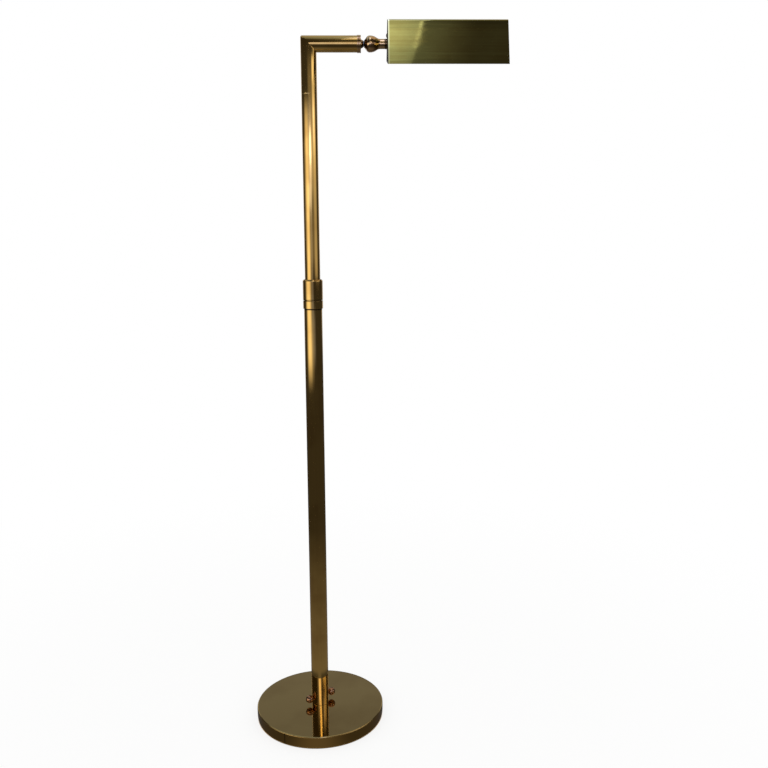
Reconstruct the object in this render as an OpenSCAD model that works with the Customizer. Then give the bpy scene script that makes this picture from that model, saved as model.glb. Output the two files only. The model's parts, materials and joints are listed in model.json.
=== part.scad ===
// Brass pharmacy floor lamp with a telescoping stem, a swivel knuckle, a trough shade and a toe switch.
// Origin: middle of the base's underside on the floor. +Z is up and the arm points along +X.

/* [Base] */
// Diameter of the round base
base_d = 250; // [210:1:320]
// Height of the base with its felt
base_h = 23.5; // [21:0.5:40]
// Wall of the spun brass cover
cover_wall = 1.5; // [0.8:0.1:2.5]
// Radius of the cover's top edge
cover_edge_r = 2; // [0.5:0.1:4]
// Thickness of the felt under the base
felt_t = 1.5; // [1:0.1:3]
// Distance of the felt's edge inside the cover's edge
felt_inset = 1; // [0.5:0.5:8]

/* [Foot fixing] */
// Outside diameter of the threaded pipe that ties the pole to the base
foot_pipe_d = 13; // [9:0.5:16]
// Wall of that pipe
foot_pipe_wall = 1.75; // [1:0.25:3]
// Length of the pipe past its plug and past its nut
foot_pipe_tail = 0.8; // [0.5:0.1:1.2]
// Height of the threaded plug in the foot of the lower tube
foot_plug_h = 7; // [5:0.5:8.5]
// Diameter of the washer under the weight
foot_washer_d = 34; // [26:1:44]
// Thickness of that washer
foot_washer_t = 2; // [1:0.25:3]
// Least wall of the foot nut around the pipe
foot_nut_wall = 3; // [2:0.25:5]
// Height of the foot nut
foot_nut_h = 6; // [4:0.5:7]
// Free height between the foot nut and the felt
foot_nut_room = 2.5; // [1.5:0.25:4]

/* [Cord inlet] */
// Bore of the bush that the mains cord passes through
cord_bore = 7; // [5:0.5:8.5]
// Wall of the bush's barrel
inlet_wall = 1.5; // [1:0.25:2.5]
// Length of the barrel behind its flange
inlet_len = 12; // [8:0.5:20]
// Width of the flange around the barrel
inlet_flange_w = 2; // [1:0.25:3]
// Thickness of the flange
inlet_flange_t = 2; // [1:0.25:3]
// Height of the inlet's axis above the floor
inlet_h = 11; // [9.5:0.5:13]
// Room around the cord in the weight
cord_room = 0.5; // [0.3:0.1:1]

/* [Foot switch] */
// Height of the switch rod above the top of the base
switch_h = 13.5; // [12.5:0.5:60]
// Direction of the switch rod, turned from the arm
switch_turn = 35; // [0:1:180]
// Diameter of the switch rod
switch_rod_d = 5; // [3:0.5:6]
// Diameter of the ball at each end of the rod
switch_ball_d = 15.5; // [10:0.5:22]
// Travel of the rod from off to on
switch_travel = 1.5; // [1:0.1:5]
// Thread depth of the rod in each ball
switch_ball_grip = 8; // [4:0.5:9]
// Wall of the two bushings in the tube
switch_bushing_wall = 1.5; // [0.5:0.25:2.5]
// Height of the switch body above the rod's axis
switch_body_over = 9; // [6:0.5:20]
// Diameter of the two wire ways in the switch body
switch_wire_d = 4; // [2:0.5:5]

/* [Pole] */
// Outside diameter of the upper tube and the arm
upper_d = 28; // [24:0.5:34]
// Wall of the upper tube and the arm
upper_wall = 1.2; // [0.8:0.1:2]
// Room between the two tubes, which the guide bush fills
slide_room = 1.25; // [0.9:0.05:2.5]
// Wall of the lower tube
lower_wall = 1.5; // [1:0.1:2.5]
// Length of the lower tube that shows under the collar
pole_show = 789.5; // [600:0.5:900]
// Height of the upper tube that shows, up to the arm's axis
stem_rise = 410; // [300:1:500]
// Height that the stem can still be pulled up
stem_up = 80; // [30:5:150]

/* [Collar] */
// Thickness of the collar around the lower tube
collar_wall = 1.5; // [1.2:0.1:4]
// Height of the fixed ring under the collar
ring_h = 14.5; // [8:0.5:25]
// Groove between the fixed ring and the collar
ring_groove = 1.2; // [0.5:0.1:3]
// Height of the twist collar
collar_h = 37.5; // [32:0.5:60]
// Radius of the collar's top edge
collar_edge_r = 3.2; // [0.5:0.1:4]
// Length of the lower tube inside the collar
collar_thread = 16; // [8:0.5:18]
// Height of the collar's lip over the collet
collar_lip = 5; // [4:0.5:8]
// Number of slots in the collet
collet_slots = 3; // [2:1:6]
// Width of a collet slot
collet_slot_w = 1.6; // [0.8:0.1:3]

/* [Guide] */
// Length of the guide bush on the stem
guide_len = 40; // [20:1:60]
// Width of the stop rings beside the guide bush
stop_w = 1.5; // [1:0.25:3]
// Gap of the stop rings to the lower tube
stop_gap = 0.5; // [0.3:0.05:0.6]
// Length of the stem under the lower stop ring
stem_tail = 8; // [4:0.5:20]
// Length of the insulating bush in the stem's lower end
lead_bush_len = 10; // [5:0.5:20]
// Diameter of the lamp lead
lead_d = 3.6; // [2.5:0.1:4]
// Length of lead below the stem
lead_tail = 15; // [5:1:40]
// Bend radius of the lead in the corner
lead_bend = 11; // [8:0.5:14]

/* [Arm and swivel] */
// Length of the arm from the pole's axis to its end ring
arm_len = 85.5; // [60:0.5:200]
// Width of the ring on the arm's end plug
end_ring_w = 6.5; // [3:0.5:15]
// Height of that ring above the tube
end_ring_over = 0.8; // [0.3:0.1:3]
// Length of the plug inside the arm
end_plug_len = 12; // [8:0.5:25]
// Radius of the plug's cone at the ring
end_cone_r = 8; // [6:0.5:12]
// Wall of the waist around the pivot
waist_wall = 1.8; // [1:0.1:3]
// Length of the plug's cone
end_cone_len = 4.4; // [2:0.2:10]
// Thickness of the friction washer in the waist
friction_t = 0.8; // [0.4:0.1:2]
// Room around the lead in the hollow pivot
pivot_room = 0.5; // [0.3:0.05:0.8]
// Wall of the hollow pivot
pivot_wall = 1.2; // [0.8:0.1:2]
// Depth of the pivot in the knuckle
pivot_grip = 14; // [8:0.5:18]
// Thickness of the spring washer on the pivot
spring_t = 1.5; // [0.8:0.1:3]
// Width of that washer around the pivot
spring_w = 4.5; // [2:0.25:6]
// Least wall of the pivot nut around the pivot
pivot_nut_wall = 2.5; // [1.5:0.25:4]
// Height of the pivot nut
pivot_nut_h = 5; // [3:0.5:8]
// Length of the pivot past its nut
pivot_tail = 1.5; // [0.5:0.25:4]

/* [Knuckle] */
// Largest radius of the knuckle
knuckle_r = 13.9; // [13:0.1:20]
// Half angle of the knuckle's nose cone
knuckle_nose = 52; // [35:1:60]
// Radius that rounds the nose into the ball
knuckle_round = 6.5; // [2:0.5:9]
// Length of the ball's far half before it is cut by the neck
knuckle_bell = 18.5; // [12:0.5:22]
// Radius of the neck
neck_r = 8.3; // [7.5:0.1:11]
// Length of the whole knuckle
knuckle_len = 36.5; // [33:0.5:70]
// Width of the ring between the neck and the shade
neck_ring_w = 4.3; // [4:0.1:12]
// Radius of that ring
neck_ring_r = 8.6; // [7.5:0.1:11]

/* [Shade] */
// Length of the shade along the arm
shade_len = 209.5; // [180:0.5:300]
// Height of the shade's top above the arm's axis
shade_rise = 40; // [32:0.5:60]
// Depth of the shade's rim below the arm's axis
shade_drop = 30.5; // [22:0.5:70]
// Width of the flat top
shade_top_w = 22; // [14:1:60]
// Width of the open rim
shade_rim_w = 104; // [80:1:160]
// Thickness of the shade's sheet
shade_wall = 1; // [0.6:0.1:2]
// Outer radius of the two bends along the top
shade_bend_r = 4; // [2.5:0.25:8]
// Thickness of the end plates
end_plate_t = 1.2; // [0.8:0.1:3]
// Turn of the shade about the arm as the lamp stands, with its front rim down
shade_turn = 13; // [-60:1:60]

/* [Shade fixing] */
// Outside diameter of the pipe through the shade's end plate
shade_pipe_d = 10; // [8:0.5:11]
// Wall of that pipe
shade_pipe_wall = 1.5; // [0.8:0.1:1.6]
// Depth of that pipe in the knuckle's neck
shade_pipe_grip = 10; // [6:0.5:14]
// Thickness of the stiffening disc behind the end plate
stiffener_t = 1.5; // [1:0.1:3]
// Edge of that disc outside the locating screw
stiffener_edge = 2.4; // [1.5:0.1:4]
// Gap between the locating screw's head and the neck's ring
screw_gap = 0.5; // [0.3:0.1:2]
// Diameter of the locating screw
screw_d = 4; // [2.5:0.5:5]
// Diameter of its round head
screw_head_d = 9; // [7:0.5:11]
// Height of its round head
screw_head_h = 2.2; // [1.5:0.1:4]
// Length of the screw behind the disc
screw_tail = 2; // [0.5:0.25:4]
// Least wall of the lock nut in the shade
lock_nut_wall = 2; // [1.5:0.25:3]
// Height of that lock nut
lock_nut_h = 5; // [3:0.5:8]

/* [Lampholder and bulb] */
// Wall of the lampholder's metal cap
holder_cap_wall = 1.2; // [0.6:0.1:1.8]
// Length of that cap
holder_cap_len = 20; // [15:0.5:26]
// Wall of the porcelain around the screw shell
holder_wall = 1.9; // [1.2:0.1:2.5]
// Step from the metal cap to the porcelain front
holder_step = 1; // [0.3:0.1:1.5]
// Free length in the cap for the wire ends
holder_wire_room = 6; // [3:0.5:8]
// Length of the pipe inside the cap
holder_pipe_tail = 2; // [1:0.25:2.5]
// Thickness of the porcelain under the contact
holder_floor = 7; // [4:0.5:9]
// Height of the centre contact
contact_h = 1.8; // [1:0.1:3]
// Gap between the bulb's cap and the screw shell
shell_gap = 0.4; // [0.2:0.05:0.6]
// Wall of the screw shell
shell_wall = 0.4; // [0.2:0.05:0.5]
// Outside diameter of the bulb's screw cap
bulb_cap_d = 26; // [25:0.1:26.4]
// Length of the bulb's screw cap
bulb_cap_len = 24; // [20:0.5:26]
// Wall of the bulb's screw cap
bulb_cap_wall = 0.5; // [0.3:0.05:0.8]
// Length of the glass-filled tip behind the cap
bulb_tip_len = 3; // [2:0.25:4]
// Radius of that tip
bulb_tip_r = 6; // [4:0.5:8]
// Diameter of the tubular bulb
bulb_d = 30; // [28:0.5:32]
// Length of the bulb's glass in front of its cap
bulb_len = 108; // [60:1:120]
// Wall of the bulb's glass
bulb_wall = 0.8; // [0.5:0.1:1.2]
// Length of the bulb's shoulder
bulb_shoulder = 14; // [8:0.5:20]
// Length of the glass neck inside the cap
bulb_neck_len = 9; // [5:0.5:14]
// Length of the glass stem inside the bulb
bulb_stem_len = 34; // [20:1:50]
// Radius of that stem
bulb_stem_r = 3; // [2:0.25:5]
// Diameter of the filament's support wires
bulb_wire_d = 0.8; // [0.5:0.1:1.5]
// Length of the support wires past the stem
bulb_wire_len = 30; // [15:1:45]
// Half distance between the support wires
bulb_wire_y = 2; // [1.2:0.1:2.4]

/* [Clearances] */
// Radial gap of pieces that are fixed in each other
fit_gap = 0.05; // [0.02:0.01:0.08]
// Radial gap of pieces that run in each other
run_gap = 0.08; // [0.05:0.01:0.1]
// Gap of pieces that pass each other without touching
free_gap = 0.3; // [0.2:0.05:0.4]

/* [Hidden] */
$fn = 128;

// Overshoot of every cut
cut = 1;
// Number of steps in a rounded outline
arc_steps = 12;

// Radii that follow from the tubes
upper_r = upper_d / 2;
upper_in_r = upper_r - upper_wall;
lower_in_r = upper_r + slide_room;
lower_r = lower_in_r + lower_wall;
collar_r = lower_r + collar_wall;

// Heights in the base
base_r = base_d / 2;
weight_top = base_h - cover_wall;
weight_r = base_r - cover_wall - fit_gap;
recess_top = felt_t + foot_nut_room + foot_nut_h + foot_washer_t;
foot_washer_z = recess_top - foot_washer_t;
foot_nut_z = foot_washer_z - foot_nut_h;
foot_pipe_r = foot_pipe_d / 2;
foot_nut_af = foot_pipe_d + 2 * foot_nut_wall;
foot_pipe_z = foot_nut_z - foot_pipe_tail;
foot_pipe_top = base_h + foot_plug_h + foot_pipe_tail;
inlet_r = cord_bore / 2 + inlet_wall;

// Places of the switch
switch_z = base_h + switch_h;
switch_rod_r = switch_rod_d / 2;
switch_bushing_r = switch_rod_r + run_gap + switch_bushing_wall;
switch_front = lower_r + free_gap + switch_ball_d / 2;
switch_rear = switch_front + switch_travel;
switch_floor = foot_pipe_top + free_gap;

// Heights of the collar and the stem
ring_z = base_h + pole_show;
collar_z = ring_z + ring_h + ring_groove;
collar_top = collar_z + collar_h;
lower_top = collar_z + collar_thread;
collet_h = collar_h - collar_thread - collar_lip - free_gap;
arm_z = collar_top + stem_rise;
stop_high = lower_top - stem_up - free_gap;
guide_z = stop_high - stop_w - free_gap - guide_len;
stop_low = guide_z - free_gap;
stem_z = stop_low - stop_w - stem_tail;

// Stations along the arm, from the pole's axis
pivot_in_r = lead_d / 2 + pivot_room;
pivot_r = pivot_in_r + pivot_wall;
pivot_nut_af = 2 * (pivot_r + pivot_nut_wall);
waist_r = pivot_r + waist_wall;
ring_end_x = arm_len + end_ring_w;
cone_end_x = ring_end_x + end_cone_len;
knuckle_x = cone_end_x + friction_t + free_gap;
neck_end_x = knuckle_x + knuckle_len;
shade_x = neck_end_x + neck_ring_w;
shade_end_x = shade_x + shade_len;
plug_x = arm_len - end_plug_len;
spring_x = plug_x - free_gap - spring_t;
pivot_nut_x = spring_x - pivot_nut_h;
pivot_x = pivot_nut_x - pivot_tail;
stiffener_x = shade_x + end_plate_t;
lock_nut_x = stiffener_x + stiffener_t;
holder_x = lock_nut_x + lock_nut_h;
shade_pipe_r = shade_pipe_d / 2;
shade_pipe_x = neck_end_x - shade_pipe_grip;
shade_pipe_end = holder_x + holder_cap_wall + holder_pipe_tail;
holder_body_x = holder_x + holder_cap_wall + holder_wire_room;
holder_front_x = holder_x + holder_cap_len;
holder_floor_x = holder_body_x + holder_floor;
bulb_tip_x = holder_floor_x + contact_h + free_gap;
bulb_cap_x = bulb_tip_x + bulb_tip_len;
bulb_cap_end = bulb_cap_x + bulb_cap_len;
holder_end_x = bulb_cap_end - free_gap;

// Radii of the shade's fixing, the lampholder and the bulb
screw_rise = neck_ring_r + screw_gap + screw_head_d / 2;
stiffener_r = screw_rise + screw_d / 2 + stiffener_edge;
lock_nut_af = shade_pipe_d + 2 * lock_nut_wall;
shell_r = bulb_cap_d / 2 + shell_gap + shell_wall;
holder_barrel_r = shell_r + fit_gap + holder_wall;
holder_cap_r = holder_barrel_r + fit_gap + holder_cap_wall;
holder_front_r = holder_cap_r + holder_step;
bulb_r = bulb_d / 2;
bulb_neck_r = bulb_cap_d / 2 - bulb_cap_wall - fit_gap;
bulb_neck_x = bulb_cap_end - bulb_neck_len;
bulb_stem_end = bulb_neck_x + bulb_stem_len;

// Slope of the shade's two sides, measured from the vertical
shade_slope = atan2((shade_rim_w - shade_top_w) / 2, shade_rise + shade_drop);
shade_bend_y = shade_top_w / 2 - shade_bend_r * (1 - sin(shade_slope)) / cos(shade_slope);
shade_bend_z = shade_rise - shade_bend_r;

// Half of the shade's outline, set in by a distance and carried below the rim by another
function shade_half(inset, below) = concat(
    [[shade_rim_w / 2 - inset / cos(shade_slope) + below * tan(shade_slope), -shade_drop - below]],
    [for (i = [0 : arc_steps])
        let (turn = shade_slope + (90 - shade_slope) * i / arc_steps, r = shade_bend_r - inset)
        [shade_bend_y + r * cos(turn), shade_bend_z + r * sin(turn)]]
);

// Whole outline of the shade, from one rim over the top to the other
function shade_outline(inset, below) =
    let (half = shade_half(inset, below), last = len(half) - 1)
    concat(half, [for (i = [last : -1 : 0]) [-half[i][0], half[i][1]]]);

// Quarter round of a turned outline, from one angle to another around a centre
function round_edge(centre, r, from, to) =
    [for (i = [0 : arc_steps])
        let (turn = from + (to - from) * i / arc_steps)
        [centre[0] + r * cos(turn), centre[1] + r * sin(turn)]];

// A ring along Z
module ring(outer, inner, z, h) {
    translate([0, 0, z])
        difference() {
            cylinder(r = outer, h = h);
            translate([0, 0, -cut])
                cylinder(r = inner, h = h + 2 * cut);
        }
}

// A hexagon nut along Z with a round bore
module hex_nut(across, bore_r, z, h) {
    translate([0, 0, z])
        difference() {
            cylinder(r = across / 2 / cos(30), h = h, $fn = 6);
            translate([0, 0, -cut])
                cylinder(r = bore_r, h = h + 2 * cut);
        }
}

// Children laid along the arm's axis, with their Z along +X
module on_arm() {
    translate([0, 0, arm_z])
        rotate([0, 90, 0])
            children();
}

// Children that turn with the shade, laid along the arm's axis with their Z along +X
module on_head() {
    translate([0, 0, arm_z])
        rotate([shade_turn, 0, 0])
            rotate([0, 90, 0])
                children();
}

// Children laid along the switch rod, with their Z towards the rear ball
module on_switch() {
    translate([0, 0, switch_z])
        rotate([0, 0, switch_turn])
            rotate([0, 90, 0])
                children();
}

// Children laid along the cord inlet, with their Z out of the back of the base
module on_inlet() {
    translate([0, 0, inlet_h])
        rotate([-90, 0, 0])
            children();
}

// Half space on the arm's side of the mitred corner
module arm_side() {
    size = 4 * (upper_d + stem_rise + arm_len);
    translate([0, 0, arm_z])
        rotate([0, 45, 0])
            translate([0, 0, size / 2])
                cube(size, center = true);
}

// Half space on the stem's side of the mitred corner
module stem_side() {
    size = 4 * (upper_d + stem_rise + arm_len + pole_show);
    translate([0, 0, arm_z])
        rotate([0, 45, 0])
            translate([0, 0, -size / 2])
                cube(size, center = true);
}

// Solid of the shade's outline between two stations on the arm
module shade_prism(inset, below, x, length) {
    translate([x, 0, arm_z])
        rotate([shade_turn, 0, 0])
            rotate([90, 0, 90])
                linear_extrude(length)
                    polygon(shade_outline(inset, below));
}

// Spun brass cover of the base
module base_cover() {
    edge = [base_r - cover_edge_r, base_h - cover_edge_r];
    hole_r = foot_pipe_r + fit_gap;
    color("darkgoldenrod")
        difference() {
            rotate_extrude()
                polygon(concat(
                    [[hole_r, weight_top], [base_r - cover_wall, weight_top], [base_r - cover_wall, felt_t],
                     [base_r, felt_t]],
                    round_edge(edge, cover_edge_r, 0, 90),
                    [[hole_r, base_h]]
                ));
            on_inlet()
                cylinder(r = inlet_r + fit_gap, h = base_r + cut);
        }
}

// Cast weight inside the cover, with a recess for the nut and a way for the cord
module base_weight() {
    color("dimgray")
        difference() {
            ring(weight_r, foot_pipe_r + fit_gap, felt_t, weight_top - felt_t);
            translate([0, 0, felt_t - cut])
                cylinder(r = foot_washer_d / 2 + free_gap, h = recess_top - felt_t + cut);
            on_inlet()
                cylinder(r = cord_bore / 2 + cord_room, h = base_r);
            on_inlet()
                translate([0, 0, base_r - inlet_len])
                    cylinder(r = inlet_r + fit_gap, h = inlet_len + cut);
        }
}

// Felt pad that the lamp stands on
module base_felt() {
    color("darkslategray")
        cylinder(r = base_r - felt_inset, h = felt_t);
}

// Threaded pipe that ties the pole's plug to the weight
module foot_pipe() {
    color("silver")
        ring(foot_pipe_r, foot_pipe_r - foot_pipe_wall, foot_pipe_z, foot_pipe_top - foot_pipe_z);
}

// Washer in the weight's recess
module foot_washer() {
    color("silver")
        ring(foot_washer_d / 2, foot_pipe_r + fit_gap, foot_washer_z, foot_washer_t);
}

// Nut under the washer
module foot_nut() {
    color("silver")
        hex_nut(foot_nut_af, foot_pipe_r + fit_gap, foot_nut_z, foot_nut_h);
}

// Threaded plug soldered into the foot of the lower tube
module foot_plug() {
    color("goldenrod")
        ring(lower_in_r - fit_gap, foot_pipe_r + fit_gap, base_h, foot_plug_h);
}

// Insulating bush in the back of the base, where the cord goes in
module cord_inlet_bush() {
    color("black")
        on_inlet()
            difference() {
                union() {
                    translate([0, 0, base_r - inlet_len])
                        cylinder(r = inlet_r, h = inlet_len);
                    translate([0, 0, base_r])
                        cylinder(r = inlet_r + inlet_flange_w, h = inlet_flange_t);
                }
                translate([0, 0, base_r - inlet_len - cut])
                    cylinder(r = cord_bore / 2, h = inlet_len + inlet_flange_t + 2 * cut);
            }
}

// Lower tube of the pole, drilled for the switch
module lower_tube() {
    color("goldenrod")
        difference() {
            ring(lower_r, lower_in_r, base_h, lower_top - base_h);
            on_switch()
                cylinder(r = switch_bushing_r + fit_gap, h = 4 * lower_r, center = true);
        }
}

// Fixed ring soldered around the lower tube
module collar_ring() {
    color("goldenrod")
        ring(collar_r, lower_r + fit_gap, ring_z, ring_h);
}

// Slotted collet that grips the upper tube
module clamp_collet() {
    outer = lower_r - free_gap;
    color("khaki")
        difference() {
            ring(outer, upper_r + run_gap, lower_top, collet_h);
            for (i = [0 : collet_slots - 1])
                rotate([0, 0, i * 360 / collet_slots])
                    translate([0, -collet_slot_w / 2, lower_top + collet_h / 4])
                        cube([collar_r, collet_slot_w, collet_h]);
        }
}

// Insulating body of the push switch, inside the foot of the lower tube
module switch_body() {
    color("saddlebrown")
        difference() {
            translate([0, 0, switch_floor])
                cylinder(r = lower_in_r - run_gap, h = switch_z + switch_body_over - switch_floor);
            on_switch()
                cylinder(r = switch_rod_r + run_gap, h = 4 * lower_r, center = true);
            for (side = [-1, 1])
                rotate([0, 0, switch_turn])
                    translate([0, side * (switch_rod_r + switch_wire_d), switch_floor - cut])
                        cylinder(d = switch_wire_d, h = switch_z + switch_body_over);
        }
}

// Two bushings that guide the switch rod through the tube's wall
module switch_bushings() {
    color("peru")
        intersection() {
            ring(lower_r, lower_in_r, switch_floor, switch_z + switch_body_over - switch_floor);
            on_switch()
                ring(switch_bushing_r, switch_rod_r + run_gap, -2 * lower_r, 4 * lower_r);
        }
}

// Rod of the push switch, through the pole
module switch_rod() {
    front = switch_front - switch_ball_d / 2 + switch_ball_grip;
    rear = switch_rear - switch_ball_d / 2 + switch_ball_grip;
    color("peru")
        on_switch()
            translate([0, 0, -front])
                cylinder(r = switch_rod_r, h = front + rear);
}

// Ball at a distance along Z, with a blind hole that faces the pole
module switch_ball(distance) {
    difference() {
        translate([0, 0, distance])
            sphere(d = switch_ball_d);
        cylinder(
            r = switch_rod_r + fit_gap,
            h = distance - switch_ball_d / 2 + switch_ball_grip + free_gap
        );
    }
}

// Ball at the front end of the switch rod
module switch_ball_front() {
    color("sienna")
        on_switch()
            mirror([0, 0, 1])
                switch_ball(switch_front);
}

// Ball at the rear end of the switch rod
module switch_ball_rear() {
    color("sienna")
        on_switch()
            switch_ball(switch_rear);
}

// Collar that is twisted to clamp or free the stem
module twist_collar() {
    bore = lower_r + run_gap;
    lip = upper_r + free_gap;
    lip_z = collar_top - collar_lip;
    edge_r = min(collar_edge_r, collar_r - lip - fit_gap);
    color("goldenrod")
        rotate_extrude()
            polygon(concat(
                [[bore, collar_z], [collar_r, collar_z]],
                round_edge([collar_r - edge_r, collar_top - edge_r], edge_r, 0, 90),
                [[lip, collar_top], [lip, lip_z], [bore, lip_z]]
            ));
}

// Bush that guides the stem in the lower tube
module guide_bush() {
    color("ivory")
        ring(lower_in_r - run_gap, upper_r + run_gap, guide_z, guide_len);
}

// Sliding upper tube, mitred at the corner
module upper_tube() {
    color("goldenrod")
        intersection() {
            ring(upper_r, upper_in_r, stem_z, arm_z + upper_d - stem_z);
            stem_side();
        }
}

// Two rings that keep the guide bush in its place on the stem
module stop_rings() {
    color("silver")
        for (z = [stop_low - stop_w, stop_high - stop_w])
            ring(lower_in_r - stop_gap, upper_r + fit_gap, z, stop_w);
}

// Insulating bush in the lower end of the stem
module lead_bush() {
    color("ivory")
        ring(upper_in_r - fit_gap, lead_d / 2 + free_gap, stem_z, lead_bush_len);
}

// Arm, mitred to the stem
module arm_tube() {
    color("goldenrod")
        intersection() {
            on_arm()
                ring(upper_r, upper_in_r, -upper_d, arm_len + upper_d);
            arm_side();
        }
}

// Plug in the arm's end, with its ring and cone
module arm_end_plug() {
    bore = pivot_r + run_gap;
    color("peru")
        on_arm()
            rotate_extrude()
                polygon([
                    [bore, plug_x], [upper_in_r - fit_gap, plug_x], [upper_in_r - fit_gap, arm_len],
                    [upper_r + end_ring_over, arm_len], [upper_r + end_ring_over, ring_end_x],
                    [end_cone_r, ring_end_x], [waist_r, cone_end_x], [bore, cone_end_x]
                ]);
}

// Friction washer between the arm and the knuckle
module friction_washer() {
    color("black")
        on_arm()
            ring(waist_r - free_gap, pivot_r + run_gap, cone_end_x, friction_t);
}

// Lead in the stem and the arm
module arm_lead() {
    bend_z = arm_z - lead_bend;
    color("black")
        union() {
            translate([0, 0, stem_z - lead_tail])
                cylinder(d = lead_d, h = bend_z - stem_z + lead_tail);
            translate([lead_bend, 0, bend_z])
                rotate([90, 0, 0])
                    rotate([0, 0, 90])
                        rotate_extrude(angle = 90)
                            translate([lead_bend, 0])
                                circle(d = lead_d);
            on_arm()
                translate([0, 0, lead_bend])
                    cylinder(d = lead_d, h = pivot_x - free_gap - lead_bend);
        }
}

// Hollow pivot that the shade turns on
module pivot_pipe() {
    color("silver")
        on_head()
            ring(pivot_r, pivot_in_r, pivot_x, knuckle_x + pivot_grip - pivot_x);
}

// Spring washer that loads the swivel
module spring_washer() {
    color("silver")
        on_head()
            ring(pivot_r + spring_w, pivot_r + fit_gap, spring_x, spring_t);
}

// Nut that sets the swivel's friction
module pivot_nut() {
    color("silver")
        on_head()
            hex_nut(pivot_nut_af, pivot_r + fit_gap, pivot_nut_x, pivot_nut_h);
}

// Turned knuckle: nose cone, ball and neck
module knuckle() {
    round_end = knuckle_r - knuckle_round * (1 - cos(knuckle_nose));
    cone_len = (round_end - waist_r) / tan(knuckle_nose);
    ball_x = cone_len + knuckle_round * sin(knuckle_nose);
    neck_turn = acos(neck_r / knuckle_r);
    nose = [[0, 0], [waist_r, 0]];
    crown = [for (i = [0 : arc_steps])
        let (turn = knuckle_nose * (1 - i / arc_steps))
        [knuckle_r - knuckle_round * (1 - cos(turn)), ball_x - knuckle_round * sin(turn)]];
    bell = [for (i = [1 : arc_steps])
        let (turn = neck_turn * i / arc_steps)
        [knuckle_r * cos(turn), ball_x + knuckle_bell * sin(turn)]];
    color("peru")
        on_head()
            translate([0, 0, knuckle_x])
                difference() {
                    rotate_extrude()
                        polygon(concat(nose, crown, bell, [[neck_r, knuckle_len], [0, knuckle_len]]));
                    translate([0, 0, -cut])
                        cylinder(r = pivot_r + fit_gap, h = pivot_grip + cut);
                    cylinder(r = lead_d / 2 + free_gap, h = knuckle_len);
                    translate([0, 0, knuckle_len - shade_pipe_grip])
                        cylinder(r = shade_pipe_r + fit_gap, h = shade_pipe_grip + cut);
                }
}

// Ring between the neck and the shade's end plate
module neck_ring() {
    color("saddlebrown")
        on_head()
            ring(neck_ring_r, shade_pipe_r + fit_gap, neck_end_x, neck_ring_w);
}

// Threaded pipe from the neck through the end plate into the lampholder
module shade_pipe() {
    color("silver")
        on_head()
            ring(shade_pipe_r, shade_pipe_r - shade_pipe_wall, shade_pipe_x, shade_pipe_end - shade_pipe_x);
}

// Folded sheet of the shade
module shade_roof() {
    color("darkkhaki")
        difference() {
            shade_prism(0, 0, shade_x, shade_len);
            shade_prism(shade_wall, cut, shade_x - cut, shade_len + 2 * cut);
        }
}

// End plate of the shade next to the knuckle
module shade_end_inner() {
    color("darkkhaki")
        difference() {
            shade_prism(shade_wall + fit_gap, 0, shade_x, end_plate_t);
            on_head()
                translate([0, 0, shade_x - cut])
                    cylinder(r = shade_pipe_r + fit_gap, h = end_plate_t + 2 * cut);
            on_head()
                translate([-screw_rise, 0, shade_x - cut])
                    cylinder(r = screw_d / 2 + fit_gap, h = end_plate_t + 2 * cut);
        }
}

// End plate of the shade at its far end
module shade_end_outer() {
    color("darkkhaki")
        shade_prism(shade_wall + fit_gap, 0, shade_end_x - end_plate_t, end_plate_t);
}

// Stiffening disc behind the inner end plate
module shade_stiffener() {
    color("silver")
        on_head()
            difference() {
                ring(stiffener_r, shade_pipe_r + fit_gap, stiffener_x, stiffener_t);
                translate([-screw_rise, 0, stiffener_x - cut])
                    cylinder(r = screw_d / 2 + fit_gap, h = stiffener_t + 2 * cut);
            }
}

// Round-headed screw that keeps the shade from turning on its pipe
module locating_screw() {
    head_r = (pow(screw_head_d / 2, 2) + pow(screw_head_h, 2)) / (2 * screw_head_h);
    edge_turn = asin(screw_head_d / 2 / head_r);
    dome = [for (i = [0 : arc_steps])
        let (turn = edge_turn * i / arc_steps)
        [head_r * sin(turn), head_r * (1 - cos(turn)) - screw_head_h]];
    shank = end_plate_t + stiffener_t + screw_tail;
    color("peru")
        on_head()
            translate([-screw_rise, 0, shade_x])
                rotate_extrude()
                    polygon(concat(dome, [[screw_d / 2, 0], [screw_d / 2, shank], [0, shank]]));
}

// Lock nut on the pipe inside the shade
module shade_lock_nut() {
    color("silver")
        on_head()
            hex_nut(lock_nut_af, shade_pipe_r + fit_gap, lock_nut_x, lock_nut_h);
}

// Metal cap of the lampholder
module holder_cap() {
    color("goldenrod")
        on_head()
            difference() {
                translate([0, 0, holder_x])
                    cylinder(r = holder_cap_r, h = holder_cap_len);
                translate([0, 0, holder_x + holder_cap_wall])
                    cylinder(r = holder_cap_r - holder_cap_wall, h = holder_cap_len);
                translate([0, 0, holder_x - cut])
                    cylinder(r = shade_pipe_r + fit_gap, h = holder_cap_wall + 2 * cut);
            }
}

// Porcelain body of the lampholder
module holder_body() {
    color("white")
        on_head()
            difference() {
                union() {
                    translate([0, 0, holder_body_x])
                        cylinder(r = holder_barrel_r, h = holder_front_x - holder_body_x);
                    translate([0, 0, holder_front_x])
                        cylinder(r = holder_front_r, h = holder_end_x - holder_front_x);
                }
                translate([0, 0, holder_floor_x])
                    cylinder(r = shell_r + fit_gap, h = holder_end_x - holder_floor_x + cut);
            }
}

// Brass shell that the bulb screws into
module holder_shell() {
    color("goldenrod")
        on_head()
            ring(shell_r, shell_r - shell_wall, holder_floor_x, holder_end_x - holder_floor_x);
}

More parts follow.
